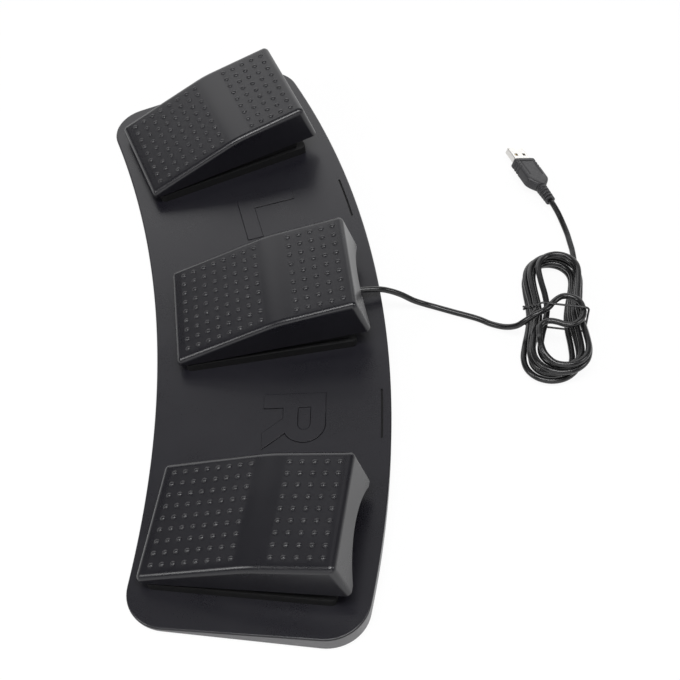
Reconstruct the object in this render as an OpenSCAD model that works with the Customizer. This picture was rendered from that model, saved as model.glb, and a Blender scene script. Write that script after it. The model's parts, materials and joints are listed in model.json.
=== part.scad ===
// Three-pedal USB foot switch: a low curved wedge base, three sprung treadles and a corded plug.
// Millimetres. +X is the user's right, +Y points away from the user and Z is up.
// The origin is on the floor, under the middle of the base.
// Each pedal has a frame of its own: X across it, Y from its low edge to its high edge, Z off the deck.

/* [Base] */
// Angle between neighbouring pedals
fan_angle = 15.3; // [14:0.1:18]
// Radius from the fan centre to the low edge of every pedal
fan_radius = 518; // [490:1:560]
// Deck in front of the middle pedal
front_margin = 12.5; // [8:0.5:24]
// Deck behind the pedals' rear skirts
rear_margin = 9.5; // [7:0.5:16]
// Angle of the base's two ends, which spread a little less than the pedals
end_angle = 13.8; // [12:0.2:16]
// Deck beside the low corners of the outer pedals
end_margin = 21.6; // [18:0.1:34]
// Radius of the concave front edge
front_edge_r = 691; // [620:1:760]
// Radius of the two front corners
front_corner_r = 22.5; // [14:0.5:26]
// Radius of the two rear corners
rear_corner_r = 23; // [16:0.5:32]
// Slope of the deck towards the user
deck_tilt = 4.5; // [4:0.1:6]
// Height of the deck at the front corners
front_h = 2.6; // [2.4:0.1:5]
// Thickness of the deck over its hollow
deck_t = 2.5; // [2:0.1:3]
// Thickness of the rim round the hollow
rim_t = 2.6; // [2:0.1:5]
// Thickness of the bottom cover
cover_t = 1.5; // [1.2:0.1:2]
// Height of the rubber feet
foot_h = 1.2; // [1:0.1:1.6]
// Radius of the rubber feet
foot_r = 8; // [5:0.5:10]
// Height of the raised left and right marks
mark_h = 0.4; // [0.2:0.1:0.8]

/* [Pedal] */
// Width of a treadle
pedal_w = 70.5; // [64:0.5:76]
// Plan length of the steep lower slope
low_l = 60; // [56:0.5:66]
// Plan length of the upper slope
high_l = 45.5; // [44:0.5:52]
// Height of the treadle's top at its low edge
lip_h = 9.7; // [9.4:0.1:11]
// Height of the treadle's top at the crease
crease_h = 29.9; // [28.5:0.1:31]
// Height of the treadle's top at its high edge
rear_h = 36.5; // [35.5:0.1:39]
// Wall of the treadle
wall = 2.4; // [2:0.1:2.6]
// Rounding of the treadle's edges
edge_r = 2.2; // [1.2:0.1:3]
// Length on either side of the crease that is blended
crease_blend = 6; // [4:0.5:16]
// How far the rear skirt leans out at its bottom
rear_flare = 6.5; // [4:0.5:8]
// Height of the skirt's hem at the low end
hem_front_h = 5.6; // [5.4:0.1:6]
// Height of the skirt's hem at the rear
hem_rear_h = 12; // [11.8:0.1:13]
// Width of the arch in the rear skirt
arch_w = 58; // [40:1:60]
// Height of the arch in the rear skirt
arch_h = 9; // [6:0.5:11]

/* [Hinge] */
// Diameter of the hinge pin
pin_d = 3; // [2.5:0.1:3.4]
// Distance of the pin from the treadle's low edge
pin_setback = 14; // [13:0.5:16]
// Height of the pin over the deck
pin_h = 7; // [6.9:0.1:7.3]
// Radial running clearance of the treadle's ears on the pin
pin_run = 0.05; // [0.02:0.01:0.1]
// Width of one ear of the treadle
ear_t = 3.2; // [2.4:0.1:3.6]
// Width of one hinge post of the pedal body
post_t = 5; // [4:0.5:7]
// Angle of a full press
press_angle = 3.5; // [2.5:0.1:3.6]

/* [Return and sensing] */
// Mean diameter of the return spring
spring_d = 10; // [9:0.5:12]
// Diameter of the spring wire
wire_d = 1.1; // [0.8:0.1:1.4]
// Number of turns of the spring
spring_turns = 7; // [5:1:9]
// Radius of a rubber bump stop
stop_r = 4; // [3:0.5:4.5]
// Height of a rubber bump stop
stop_h = 2.5; // [2:0.1:3.5]
// Thickness of the circuit boards
board_t = 1.6; // [1:0.1:2]
// Height of a light gate over its board
gate_h = 10; // [9:0.5:10.5]
// Width of the light gate's slot
gate_slot = 3; // [2.6:0.1:4]
// Thickness of the treadle's blade in that slot
blade_t = 1.2; // [0.8:0.1:1.6]

/* [Cord and plug] */
// Diameter of the cord
cord_d = 3.6; // [3.4:0.1:3.7]
// Diameter of the wires between the pedals
link_d = 2.6; // [2:0.1:2.8]
// Diameter of the cord gland's sleeve
gland_d = 6; // [5:0.2:7]
// Length of the gland's sleeve behind its flange
gland_l = 8.4; // [6:0.2:10]
// Length of the plug's grip
grip_l = 25.5; // [23:0.5:34]
// Width of the plug's grip
grip_w = 16; // [14:0.1:17]
// Height of the plug's grip
grip_h = 7.6; // [7:0.1:9]
// Length of the plug's ribbed strain relief
relief_l = 13; // [9:0.5:16]
// Length of the plug's shell outside the grip
shell_l = 12; // [11:0.5:14]
// Width of the plug's shell
shell_w = 12; // [11.5:0.1:12.4]
// Height of the plug's shell
shell_h = 4.5; // [4.3:0.1:4.8]

/* [Hidden] */
$fn = 48;
hull_fn = 24;
eps = 0.1;
far = 1000;

// Hand-chosen clearances
seat_clear = 0.02;
cover_clear = 0.3;
skirt_clear = 0.8;
side_play = 0.4;
hem_clear = 0.5;
stop_clear = 0.35;
hook_clear = 0.3;
tie_clear = 0.3;
hole_clear = 0.3;

// Treadle profile: slopes of its two planes and of its rear skirt
pedal_l = low_l + high_l;
low_tan = (crease_h - lip_h) / low_l;
high_tan = (rear_h - crease_h) / high_l;
flare_tan = rear_flare / (rear_h - hem_rear_h);
low_sec = norm([1, low_tan]);
high_sec = norm([1, high_tan]);
flare_sec = norm([1, flare_tan]);

// Height of the treadle's top at a distance from its low edge, a depth below the surface
function top_h(u, depth = 0) =
    min(lip_h + u * low_tan - depth * low_sec, crease_h + (u - low_l) * high_tan - depth * high_sec);

// Where the two slopes meet, a depth below the surface
function crease_u(depth) = low_l + depth * (low_sec - high_sec) / (low_tan - high_tan);

// Where the rear skirt is at a height, a depth below its face
function rear_u(h, depth) = pedal_l + (rear_h - h) * flare_tan - depth * flare_sec;

// Where the upper slope meets the rear skirt, a depth below both
function rear_top_u(depth) =
    pedal_l - depth * (flare_sec - high_sec * flare_tan) / (1 + high_tan * flare_tan);

// A point and its height on the treadle's top, a depth below the surface
function top_point(u, depth) = [u, top_h(u, depth)];

// Quadratic blend between two points past a corner
function blend(a, b, c, t) = (1 - t) * (1 - t) * a + 2 * t * (1 - t) * b + t * t * c;

// Smooth step from 0 to 1
function ramp(t) = t <= 0 ? 0 : t >= 1 ? 1 : t * t * (3 - 2 * t);

// Base plan, about the fan centre
rear_r = fan_radius + pedal_l + rear_flare + rear_margin;
front_shift = front_edge_r - (fan_radius - front_margin);
end_normal = [cos(end_angle), -sin(end_angle)];
end_along = [sin(end_angle), cos(end_angle)];
low_corner = pedal_w / 2 * [cos(fan_angle), -sin(fan_angle)] + fan_radius * [sin(fan_angle), cos(fan_angle)];
end_off = low_corner * end_normal + end_margin;
front_centre = [0, -front_shift];
front_corner_in = end_off - front_corner_r - front_centre * end_normal;
front_corner_run = front_centre * end_along
    + sqrt(pow(front_edge_r + front_corner_r, 2) - pow(front_corner_in, 2));
front_corner = (end_off - front_corner_r) * end_normal + front_corner_run * end_along;
rear_corner_run = sqrt(pow(rear_r - rear_corner_r, 2) - pow(end_off - rear_corner_r, 2));
rear_corner = (end_off - rear_corner_r) * end_normal + rear_corner_run * end_along;
fan_y = -(front_corner[1] - front_corner_r + rear_r) / 2;
deck_mid_h = front_h - tan(deck_tilt) * (fan_y + front_corner[1] - front_corner_r);

// Hollow of the base, which starts where there is room under the deck
hollow_min_h = 1.6;
cover_top = foot_h + cover_t;
hollow_y = (cover_top + deck_t + hollow_min_h - deck_mid_h) / tan(deck_tilt);

// Cover screws and their bosses, in a front and a rear row
cover_screw_r = 1.25;
cover_screw_l = 4.4;
cover_head_r = 2.8;
cover_head_h = 0.8;
cover_boss_r = 3.6;
cover_front_angles = [-1.22, -0.5, 0.5, 1.22] * fan_angle;
cover_rear_angles = [-1.12, -0.5, 0.5, 1.12] * fan_angle;
cover_row_in = 8;
cover_rear_in = 14;
cover_screw_xy = [
    for (a = cover_front_angles) [(hollow_y + cover_row_in - fan_y) * tan(a), hollow_y + cover_row_in],
    for (a = cover_rear_angles) [(rear_r - cover_rear_in) * sin(a), fan_y + (rear_r - cover_rear_in) * cos(a)]
];

// Feet: the four corners, and the middle of the front and rear edges
foot_in = 6;
foot_xy = [
    for (s = [-1, 1]) [s * front_corner[0], fan_y + front_corner[1]],
    for (s = [-1, 1]) [s * rear_corner[0], fan_y + rear_corner[1]],
    [0, fan_y + fan_radius - front_margin + foot_in + foot_r],
    [0, fan_y + rear_r - rim_t - foot_in - foot_r]
];

// Raised marks and the two short grooves near the rear edge
mark_radius = fan_radius + 50;
mark_shift = 2;
mark_tall = 35;
mark_stroke = 9.4;
mark_sink = 0.5;
groove_in = 5;
groove_w = 1.2;
groove_depth = 0.8;
groove_half_angle = 1.5;

// Pedal body: plinth, shield walls inside the skirts and the rear wall
lip_overhang = 4.3;
body_short = 2;
body_rear_u = pedal_l - body_short;
rear_ledge = 5.5;
body_floor = 2;
plinth_h = hem_front_h - hem_clear;
plinth_corner_r = 3;
skirt_in = pedal_w / 2 - wall;
shield_out = skirt_in - skirt_clear;
shield_t = 1.8;
shield_in = shield_out - shield_t;
pocket_in = 3.2;
pocket_u = lip_overhang + pocket_in;
rear_wall_out = body_rear_u - rear_ledge;
rear_wall_in = rear_wall_out - shield_t;
rear_wall_h = 16;
shield_past = 6;
shield_u = pin_setback + shield_past;
shield_drop = 3;
shield_h_front = top_h(shield_u, wall) - shield_drop;
shield_h_rear = 21;

// Hinge: the posts stand inside the ears
pin_r = pin_d / 2;
ear_wall = 2.2;
ear_r = pin_r + ear_wall;
ear_out = shield_in - side_play;
ear_in = ear_out - ear_t;
post_out = ear_in - side_play;
post_in = post_out - post_t;
post_half = 3.6;
post_cap = 1.3;
post_top = pin_h + pin_r + post_cap;
pin_play = 0.6;
pin_half = skirt_in - pin_play;

// Return spring under the crease
spring_u = low_l;
spring_land = 1.5;
spring_boss = spring_d / 2 + spring_land;
spring_seat_t = 1.2;
spring_seat_h = top_h(spring_u - spring_boss, wall) - spring_seat_t;
guide_clear = 1.2;
guide_r = spring_d / 2 - wire_d / 2 - guide_clear;
guide_l = 6;

// Board on four posts, ahead of the rear wall
board_h = 8;
board_gap = 5.2;
board_rear_u = rear_wall_in - board_gap;
board_l = 21;
board_half = 18;
board_post_r = 2.2;
board_post_in = 3;
board_screw_r = 0.9;
board_head_r = 1.9;
board_head_h = 1.2;
board_screw_l = 4.6;
board_top = board_h + board_t;
board_holes = [
    for (v = [-1, 1]) for (u = [board_rear_u - board_l + board_post_in, board_rear_u - board_post_in])
        [v * (board_half - board_post_in), u]
];

// Light gate on the board and the treadle's blade in its slot
gate_v = -10;
gate_in = 9;
gate_u = board_rear_u - gate_in;
gate_l = 6;
gate_lip = 1;
gate_pillar = 4.5;
gate_floor = 1.8;
gate_w = gate_slot + 2 * gate_pillar;
gate_deep = gate_l + 2 * gate_lip;
blade_dip = 2.6;

// Bump stops, and the treadle's ribs that meet them at a full press
stop_in = 1;
stop_v = shield_in - stop_r - stop_in;
stop_past = 10;
stop_u = low_l + stop_past;
stop_post_h = 9;
stop_rib = stop_r;
stop_rib_h = stop_post_h + stop_h + (stop_u + stop_rib - pin_setback) * sin(press_angle) + stop_clear;

// Snap hooks that hold the treadle down at rest, and their windows in the rear wall
hook_in = 7;
hook_v = shield_in - hook_in;
hook_half = 3;
hook_t = 2.6;
hook_gap = 1;
hook_tip_h = 10;
hook_catch_h = 13.4;
hook_reach = hook_gap + shield_t - side_play;
window_play = 0.8;
window_low_h = hook_tip_h - (rear_wall_out - pin_setback) * sin(press_angle) - window_play;
window_h = hook_catch_h + hook_clear - window_low_h;

// Screws that hold the pedal bodies to the deck from below
body_screw_r = 1.3;
body_screw_l = 6;
body_head_r = 2.6;
body_head_h = 1.4;
body_post_r = 3.4;
body_post_h = 8.5;
deck_hole_r = body_screw_r + hole_clear;
body_screw_in = 5;
body_screw_ahead = 8;
body_screw_back = 8.2;
body_screw_vu = [
    for (v = [-1, 1]) for (u = [low_l - body_screw_ahead, rear_wall_in - body_screw_back])
        [v * (shield_in - body_screw_in), u]
];

// Wires between the pedals, which rise through the deck into connectors under the boards
link_v = 8;
link_in = 13;
link_u = board_rear_u - link_in;
link_play = 1;
link_hole_r = link_d / 2 + link_play;
link_sleeve = 0.2;
link_depth = deck_t + hole_clear + link_d / 2;
link_plug = [7, 6, 4];
link_top = board_h - link_plug[2];

// Cord gland in the middle body's rear wall
gland_h = 7.4;
gland_rim = 1.4;
gland_flange_r = gland_d / 2 + gland_rim;
gland_flange_t = 1.6;
gland_end_u = rear_wall_out + gland_flange_t + gland_l;
gland_notch_r = gland_flange_r + hole_clear;
cord_plug = [9, 7, 4];
pigtail_r = 1.44;

// Chip on the middle board
chip_size = [10, 10, 1.4];
chip_v = 2;
chip_in = 17;

// Where a point of a pedal's frame lies in the base's frame
function deck_point(p) = [
    p[0],
    p[1] * cos(deck_tilt) - p[2] * sin(deck_tilt),
    deck_mid_h + p[1] * sin(deck_tilt) + p[2] * cos(deck_tilt)
];
function middle_point(u, w) = deck_point([0, fan_y + fan_radius + u, w]);
function deck_xy(side, v, u) = [
    v * cos(side * fan_angle) + (fan_radius + u) * sin(side * fan_angle),
    fan_y - v * sin(side * fan_angle) + (fan_radius + u) * cos(side * fan_angle)
];

// Hank: loops that lie in four layers, spiral in and out and are drawn in at the waist
hank_at = [22.5, 181];
hank_turn = -8;
hank_run = 29.4;
hank_outer_r = 17.3;
hank_step = 4.4;
hank_rise = 4.1;
hank_layers = 4;
hank_layer_turns = 1.5;
hank_waist = 3;
// Every layer slips to the left of the one above it, more at the near end than at the far end
hank_slip_far = 1;
hank_slip_near = 2.6;
loop_rings = 24;
run_rings = 6;
slip_rings = 4;
// The loops start at the end of a left run, drop a layer and end two rings past the waist
hank_first = 15;
hank_drop = 2;
hank_over = 2;
layer_rings = loop_rings * hank_layer_turns;
hank_rings = layer_rings * hank_layers;
cord_r = cord_d / 2;
tie_t = 0.8;
tie_w = 2.4;
tie_floor = 0.1;
hank_low = tie_floor + tie_t + tie_clear + cord_r;
hank_start_z = hank_low + hank_layers * hank_rise;
over_z = hank_start_z + 0.4;

// How far a run is drawn in, a distance from the waist
function drawn_in(x) = hank_waist * pow(cos(90 * x / hank_run), 2);

// Radius of the loops at a ring: in on one layer and out on the next
function hank_r(k) =
    let (layer = min(floor(k / layer_rings), hank_layers - 1))
    let (part = (k - layer * layer_rings) / layer_rings)
    hank_outer_r - hank_step * hank_layer_turns * (layer % 2 == 0 ? part : 1 - part);

// Height of a ring: down from the lead on the first cap, then down a layer at each reversal
function hank_z(k) =
    hank_start_z - hank_rise * ramp((k - hank_first) / hank_drop)
    - hank_rise * [for (m = [1 : hank_layers - 1]) ramp((k - m * layer_rings) / run_rings + 0.5)]
        * [for (m = [1 : hank_layers - 1]) 1];

// Plan of a ring: half a run, a cap, a run, a cap and half a run again
function hank_xy(j, r) =
    let (half = run_rings / 2)
    let (cap = 180 / run_rings)
    j <= half ? let (x = -hank_run * j / half) [x, r - drawn_in(x)]
    : j <= half + run_rings ? let (a = (j - half) * cap) [-hank_run - r * sin(a), r * cos(a)]
    : j <= half + 2 * run_rings ?
        let (x = hank_run * ((j - half - run_rings) / half - 1)) [x, drawn_in(x) - r]
    : j <= half + 3 * run_rings ?
        let (a = (j - half - 2 * run_rings) * cap) [hank_run + r * sin(a), -r * cos(a)]
    : let (x = hank_run * (1 - (j - half - 3 * run_rings) / half)) [x, r - drawn_in(x)];

// How far a ring has slipped, in layers: one more along each climb
function hank_slips(k) =
    [for (m = [1 : hank_layers - 1]) ramp((k - m * layer_rings + 1) / slip_rings)]
        * [for (m = [1 : hank_layers - 1]) 1];

// A ring in the hank's own frame
function hank_point(k) =
    let (p = hank_xy(k % loop_rings, hank_r(k)))
    let (reach = hank_run + hank_outer_r)
    let (slip = hank_slip_far + (hank_slip_near - hank_slip_far) * (p[0] + reach) / (2 * reach))
    [p[0], p[1] - slip * hank_slips(k), hank_z(k)];

// From the hank's own frame to the base's
function hank_place(p) = [
    hank_at[0] + p[0] * cos(hank_turn) - p[1] * sin(hank_turn),
    hank_at[1] + p[0] * sin(hank_turn) + p[1] * cos(hank_turn),
    p[2]
];
hank_loops = [for (k = [hank_first : hank_rings + hank_over]) hank_place(hank_point(k))];
hank_last = hank_loops[len(hank_loops) - 1];
hank_end_step = hank_last - hank_loops[len(hank_loops) - 2];
hank_end_dir = [hank_end_step[0], hank_end_step[1], 0] / norm([hank_end_step[0], hank_end_step[1]]);
hank_start_dir = [cos(hank_turn), sin(hank_turn), 0];
hank_path = concat(
    [hank_loops[0] - cord_d * hank_start_dir],
    hank_loops,
    [hank_last + cord_d * hank_end_dir]
);

// Least gap of the hank to itself, between points three to a ring step
gap_skip = 14;
hank_dots = [
    for (i = [0 : len(hank_path) - 2]) for (t = [0, 1 / 3, 2 / 3])
        hank_path[i] * (1 - t) + hank_path[i + 1] * t
];
hank_gap = min([
    for (i = [0 : len(hank_dots) - 1 - gap_skip]) for (j = [i + gap_skip : len(hank_dots) - 1])
        norm(hank_dots[i] - hank_dots[j])
]) - cord_d;

// Cord route from the gland, over the base's rear edge and along the floor, then in a loop over the hank
lead_path = [
    middle_point(gland_end_u, gland_h),
    middle_point(gland_end_u + cord_d, gland_h),
    [0, 76.5, 20.5],
    [0, 83, 18],
    [0, 90, 13.5],
    [0.5, 97, 8],
    [1, 104, 4],
    [3, 111, 2.2],
    [8, 121, 1.9],
    [14.5, 133.5, 1.9],
    [20, 141, 2.2],
    [25.5, 148, 5],
    [29.5, 153.5, 10],
    [30.5, 158, 15],
    [30, 163, 18.6],
    [28.5, 168, over_z],
    [26, 172.5, over_z],
    [22, 176.5, over_z],
    [19, 181.5, over_z],
    [19.5, 186.5, over_z],
    [23, 190.8, over_z],
    [28.5, 192, over_z],
    [34, 191.2, over_z],
    [38, 188.3, over_z],
    [40.5, 184, over_z],
    [40, 179.5, over_z],
    [37.5, 175, over_z],
    [36, 171, 19.6],
    [36.5, 167.5, 19.5],
    [39, 164.5, 19.4],
    hank_path[0] - cord_d * hank_start_dir,
    hank_path[0]
];

// Plug: rolled onto one edge by its cord, its tip turned a little towards the base
plug_at = [-72, 196];
plug_turn = 196;
plug_roll = 20;
grip_corner_r = 1.5;
plug_z = tie_floor + grip_corner_r + (grip_w / 2 - grip_corner_r) * sin(plug_roll)
    + (grip_h / 2 - grip_corner_r) * cos(plug_roll);
function plug_point(x) = [plug_at[0] + x * cos(plug_turn), plug_at[1] + x * sin(plug_turn), plug_z];
shell_wall = 0.35;
shell_in = 6;
shoulder_l = 5;
relief_r = 3.7;
relief_end_r = 3.2;
relief_ribs = 5;
relief_groove = 0.7;
rib_share = 0.55;
grip_notches = 3;
grip_notch_w = 1.1;
grip_notch_pitch = 2.6;
grip_notch_depth = 0.8;
grip_notch_in = 4;
tongue_h = 1.9;
tongue_short = 0.6;
contact_size = [8, 1, 0.2];
contact_pitch = 2.2;
shell_hole = 2.2;

// Cord route from the hank to the plug's strain relief
tail_path = [
    hank_last + cord_d * hank_end_dir,
    hank_last + 2 * cord_d * hank_end_dir,
    [-12, 199, 2.4],
    [-22, 200.5, 1.9],
    [-33, 201.5, 1.9],
    [-45, 201.5, 1.9],
    [-55, 200.5, 2.6],
    [-62, 199, 4.4],
    plug_point(-cord_d),
    plug_point(0)
];

// Lengths of cord, and the hank's gap, for the record
function path_length(p, i = 1) = i >= len(p) ? 0 : norm(p[i] - p[i - 1]) + path_length(p, i + 1);
cord_length = path_length(lead_path) + path_length(hank_path) + path_length(tail_path);
echo(str("Cord length: ", cord_length, " mm"));
echo(str("Least gap of the hank to itself: ", hank_gap, " mm"));
echo(str("Fan centre y: ", fan_y, " mm, deck height at the middle: ", deck_mid_h, " mm"));

// Colours
black_plastic = "#26272a";
dark_plastic = "#1c1d1f";
rubber_black = "#141414";
cord_black = "#1a1a1b";
grip_grey = "#3a3b3e";
steel = "#b8bbc0";
board_green = "#1f5a3a";
chip_black = "#222226";
nylon_white = "#e6e3d8";
gold = "#d4af37";

// Stand something on the deck, with Y along its slope
module on_deck() {
    translate([0, 0, deck_mid_h]) rotate([deck_tilt, 0, 0]) children();
}

// Stand something in the frame of one pedal: -1 is left, 0 is middle and 1 is right
module at_pedal(side) {
    on_deck() translate([0, fan_y, 0]) rotate([0, 0, -side * fan_angle])
        translate([0, fan_radius, 0]) children();
}

// Extrude an outline of (length, height) points across a pedal
module along_v(from, to) {
    translate([from, 0, 0]) rotate([90, 0, 90]) linear_extrude(height = to - from) children();
}

// A round bar across a pedal
module bar_v(from, to, u, w, r) {
    translate([from, u, w]) rotate([0, 90, 0]) cylinder(r = r, h = to - from);
}

// A round bar along a pedal
module bar_u(from, to, w, r) {
    translate([0, from, w]) rotate([-90, 0, 0]) cylinder(r = r, h = to - from);
}

// A block whose upright edges are round
module soft_block(size, r) {
    translate([r, 0, 0]) cube([size[0] - 2 * r, size[1], size[2]]);
    translate([0, r, 0]) cube([size[0], size[1] - 2 * r, size[2]]);
    for (x = [r, size[0] - r]) for (y = [r, size[1] - r]) translate([x, y, 0]) cylinder(r = r, h = size[2]);
}

// A tube of flat triangles along a path that never stands upright
module tube(path, r, sides) {
    last = len(path) - 1;
    function unit(v) = v / norm(v);
    function heading(i) = unit(path[min(i + 1, last)] - path[max(i - 1, 0)]);
    rings = [
        for (i = [0 : last])
            let (t = heading(i), right = unit(cross(t, [0, 0, 1])), up = cross(right, t))
            for (s = [0 : sides - 1])
                path[i] + r * (right * cos(360 * s / sides) + up * sin(360 * s / sides))
    ];
    walls = [
        for (i = [0 : last - 1]) for (s = [0 : sides - 1])
            let (a = i * sides + s, b = i * sides + (s + 1) % sides)
            each [[a, b, b + sides], [a, b + sides, a + sides]]
    ];
    near_cap = [for (s = [1 : sides - 2]) [0, s + 1, s]];
    far_cap = [for (s = [1 : sides - 2]) [last * sides, last * sides + s, last * sides + s + 1]];
    polyhedron(points = rings, faces = concat(walls, near_cap, far_cap));
}

// What a rounded corner takes off an outline: the tip beyond the arc
module corner_tip(centre, r, n1, n2, h) {
    past_tip = 1.7;
    reach = past_tip * r / (1 + n1 * n2);
    difference() {
        linear_extrude(height = h)
            polygon([centre, centre + r * n1, centre + reach * (n1 + n2), centre + r * n2]);
        translate([centre[0], centre[1], -eps]) cylinder(r = r, h = h + 2 * eps, $fn = 96);
    }
}

// Plan of the base, set in by a distance, as a prism from the floor
module base_prism(inset, h) {
    apex = -(end_off - inset) / sin(end_angle);
    cap = [2 * far * sin(end_angle), apex + 2 * far * cos(end_angle)];
    translate([0, fan_y, 0]) difference() {
        intersection() {
            cylinder(r = rear_r - inset, h = h, $fn = 360);
            linear_extrude(height = h) polygon([[0, apex], cap, [-cap[0], cap[1]]]);
        }
        translate([0, -front_shift, -eps]) cylinder(r = front_edge_r + inset, h = h + 2 * eps, $fn = 360);
        for (m = [0, 1]) mirror([m, 0, 0]) translate([0, 0, -eps]) {
            corner_tip(front_corner, front_corner_r - inset,
                (front_centre - front_corner) / norm(front_centre - front_corner), end_normal, h + 2 * eps);
            corner_tip(rear_corner, rear_corner_r - inset,
                rear_corner / norm(rear_corner), end_normal, h + 2 * eps);
        }
    }
}

// Everything above a plane that lies a depth below the deck
module above_deck(depth) {
    on_deck() translate([-far / 2, -far / 2, -depth]) cube([far, far, far / 4]);
}

// The letters' frame: across and outwards on the deck, half way between two pedals
module at_mark(side) {
    on_deck() translate([0, fan_y, 0]) rotate([0, 0, -side * fan_angle / 2])
        translate([0, mark_radius, -mark_sink]) children();
}

// Plain left mark between the left and middle pedals
module left_mark() {
    at_mark(-1) translate([-mark_tall / 2 - mark_shift, 0, 0]) {
        cube([mark_tall, mark_stroke, mark_sink + mark_h]);
        cube([mark_stroke, mark_tall, mark_sink + mark_h]);
    }
}

// Plain right mark between the middle and right pedals
module right_mark() {
    bowl_r = mark_tall * 0.34;
    eye_r = bowl_r - mark_stroke * 0.88;
    bowl_y = mark_tall - bowl_r;
    bowl_x = mark_tall * 0.6;
    leg_y = mark_tall * 0.35;
    tall = mark_sink + mark_h;
    at_mark(1) translate([-mark_tall / 2 + mark_shift, 0, 0]) {
        difference() {
            union() {
                cube([mark_stroke, mark_tall, tall]);
                translate([0, bowl_y - bowl_r, 0]) cube([bowl_x, 2 * bowl_r, tall]);
                translate([bowl_x, bowl_y, 0]) cylinder(r = bowl_r, h = tall);
            }
            translate([mark_stroke, bowl_y - eye_r, -eps])
                cube([bowl_x - mark_stroke, 2 * eye_r, tall + 2 * eps]);
            translate([bowl_x, bowl_y, -eps]) cylinder(r = eye_r, h = tall + 2 * eps);
        }
        linear_extrude(height = tall) polygon([
            [mark_stroke * 1.68, leg_y], [mark_stroke * 2.84, leg_y],
            [mark_tall + mark_stroke * 0.2, 0], [mark_tall - mark_stroke * 0.96, 0]
        ]);
    }
}

// A short arc groove near the rear edge, between two pedals
module rear_groove(side) {
    middle_r = rear_r - groove_in;
    span = middle_r * tan(groove_half_angle);
    on_deck() translate([0, fan_y, 0]) rotate([0, 0, -side * fan_angle / 2]) intersection() {
        difference() {
            translate([0, 0, -groove_depth])
                cylinder(r = middle_r + groove_w / 2, h = 2 * groove_depth, $fn = 360);
            translate([0, 0, -2 * groove_depth])
                cylinder(r = middle_r - groove_w / 2, h = 4 * groove_depth, $fn = 360);
        }
        translate([-span, middle_r / 2, -groove_depth]) cube([2 * span, middle_r, 2 * groove_depth]);
    }
}

// Wedge deck with a rim, screw bosses, wire holes and the raised marks
module base_plate() {
    color(black_plastic) {
        difference() {
            union() {
                difference() {
                    translate([0, 0, foot_h]) base_prism(0, deck_mid_h * 2);
                    above_deck(0);
                    difference() {
                        intersection() {
                            base_prism(rim_t, deck_mid_h * 2);
                            translate([-far / 2, hollow_y, 0]) cube([far, far, deck_mid_h * 2]);
                        }
                        above_deck(deck_t);
                        for (p = cover_screw_xy)
                            translate([p[0], p[1], cover_top]) cylinder(r = cover_boss_r, h = deck_mid_h * 2);
                    }
                }
                left_mark();
                right_mark();
            }
            for (p = cover_screw_xy)
                translate([p[0], p[1], 0])
                    cylinder(r = cover_screw_r + seat_clear, h = foot_h + cover_screw_l + eps);
            for (side = [-1, 0, 1]) at_pedal(side) {
                for (p = body_screw_vu)
                    translate([p[0], p[1], -2 * deck_t]) cylinder(r = deck_hole_r, h = 3 * deck_t);
                for (v = link_ports(side))
                    translate([v, link_u, -2 * deck_t]) cylinder(r = link_hole_r, h = 3 * deck_t);
            }
            rear_groove(-1);
            rear_groove(1);
        }
    }
}

// Which sides of a pedal its link wires come up on
function link_ports(side) = side == 0 ? [-link_v, link_v] : [-side * link_v];

// Flat cover under the hollow
module bottom_cover() {
    color(dark_plastic) difference() {
        intersection() {
            translate([0, 0, foot_h]) base_prism(rim_t + cover_clear, cover_t);
            translate([-far / 2, hollow_y + cover_clear, 0]) cube([far, far, cover_top]);
        }
        for (p = cover_screw_xy)
            translate([p[0], p[1], 0]) cylinder(r = cover_screw_r + hole_clear, h = cover_top + eps);
    }
}

// Pan-head screws that hold the cover
module cover_screws() {
    color(steel) for (p = cover_screw_xy) translate([p[0], p[1], foot_h]) {
        translate([0, 0, -cover_head_h]) cylinder(r = cover_head_r, h = cover_head_h);
        cylinder(r = cover_screw_r, h = cover_screw_l);
    }
}

// Stick-on rubber feet
module rubber_feet() {
    color(rubber_black) for (p = foot_xy) translate([p[0], p[1], 0]) cylinder(r = foot_r, h = foot_h);
}

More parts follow.
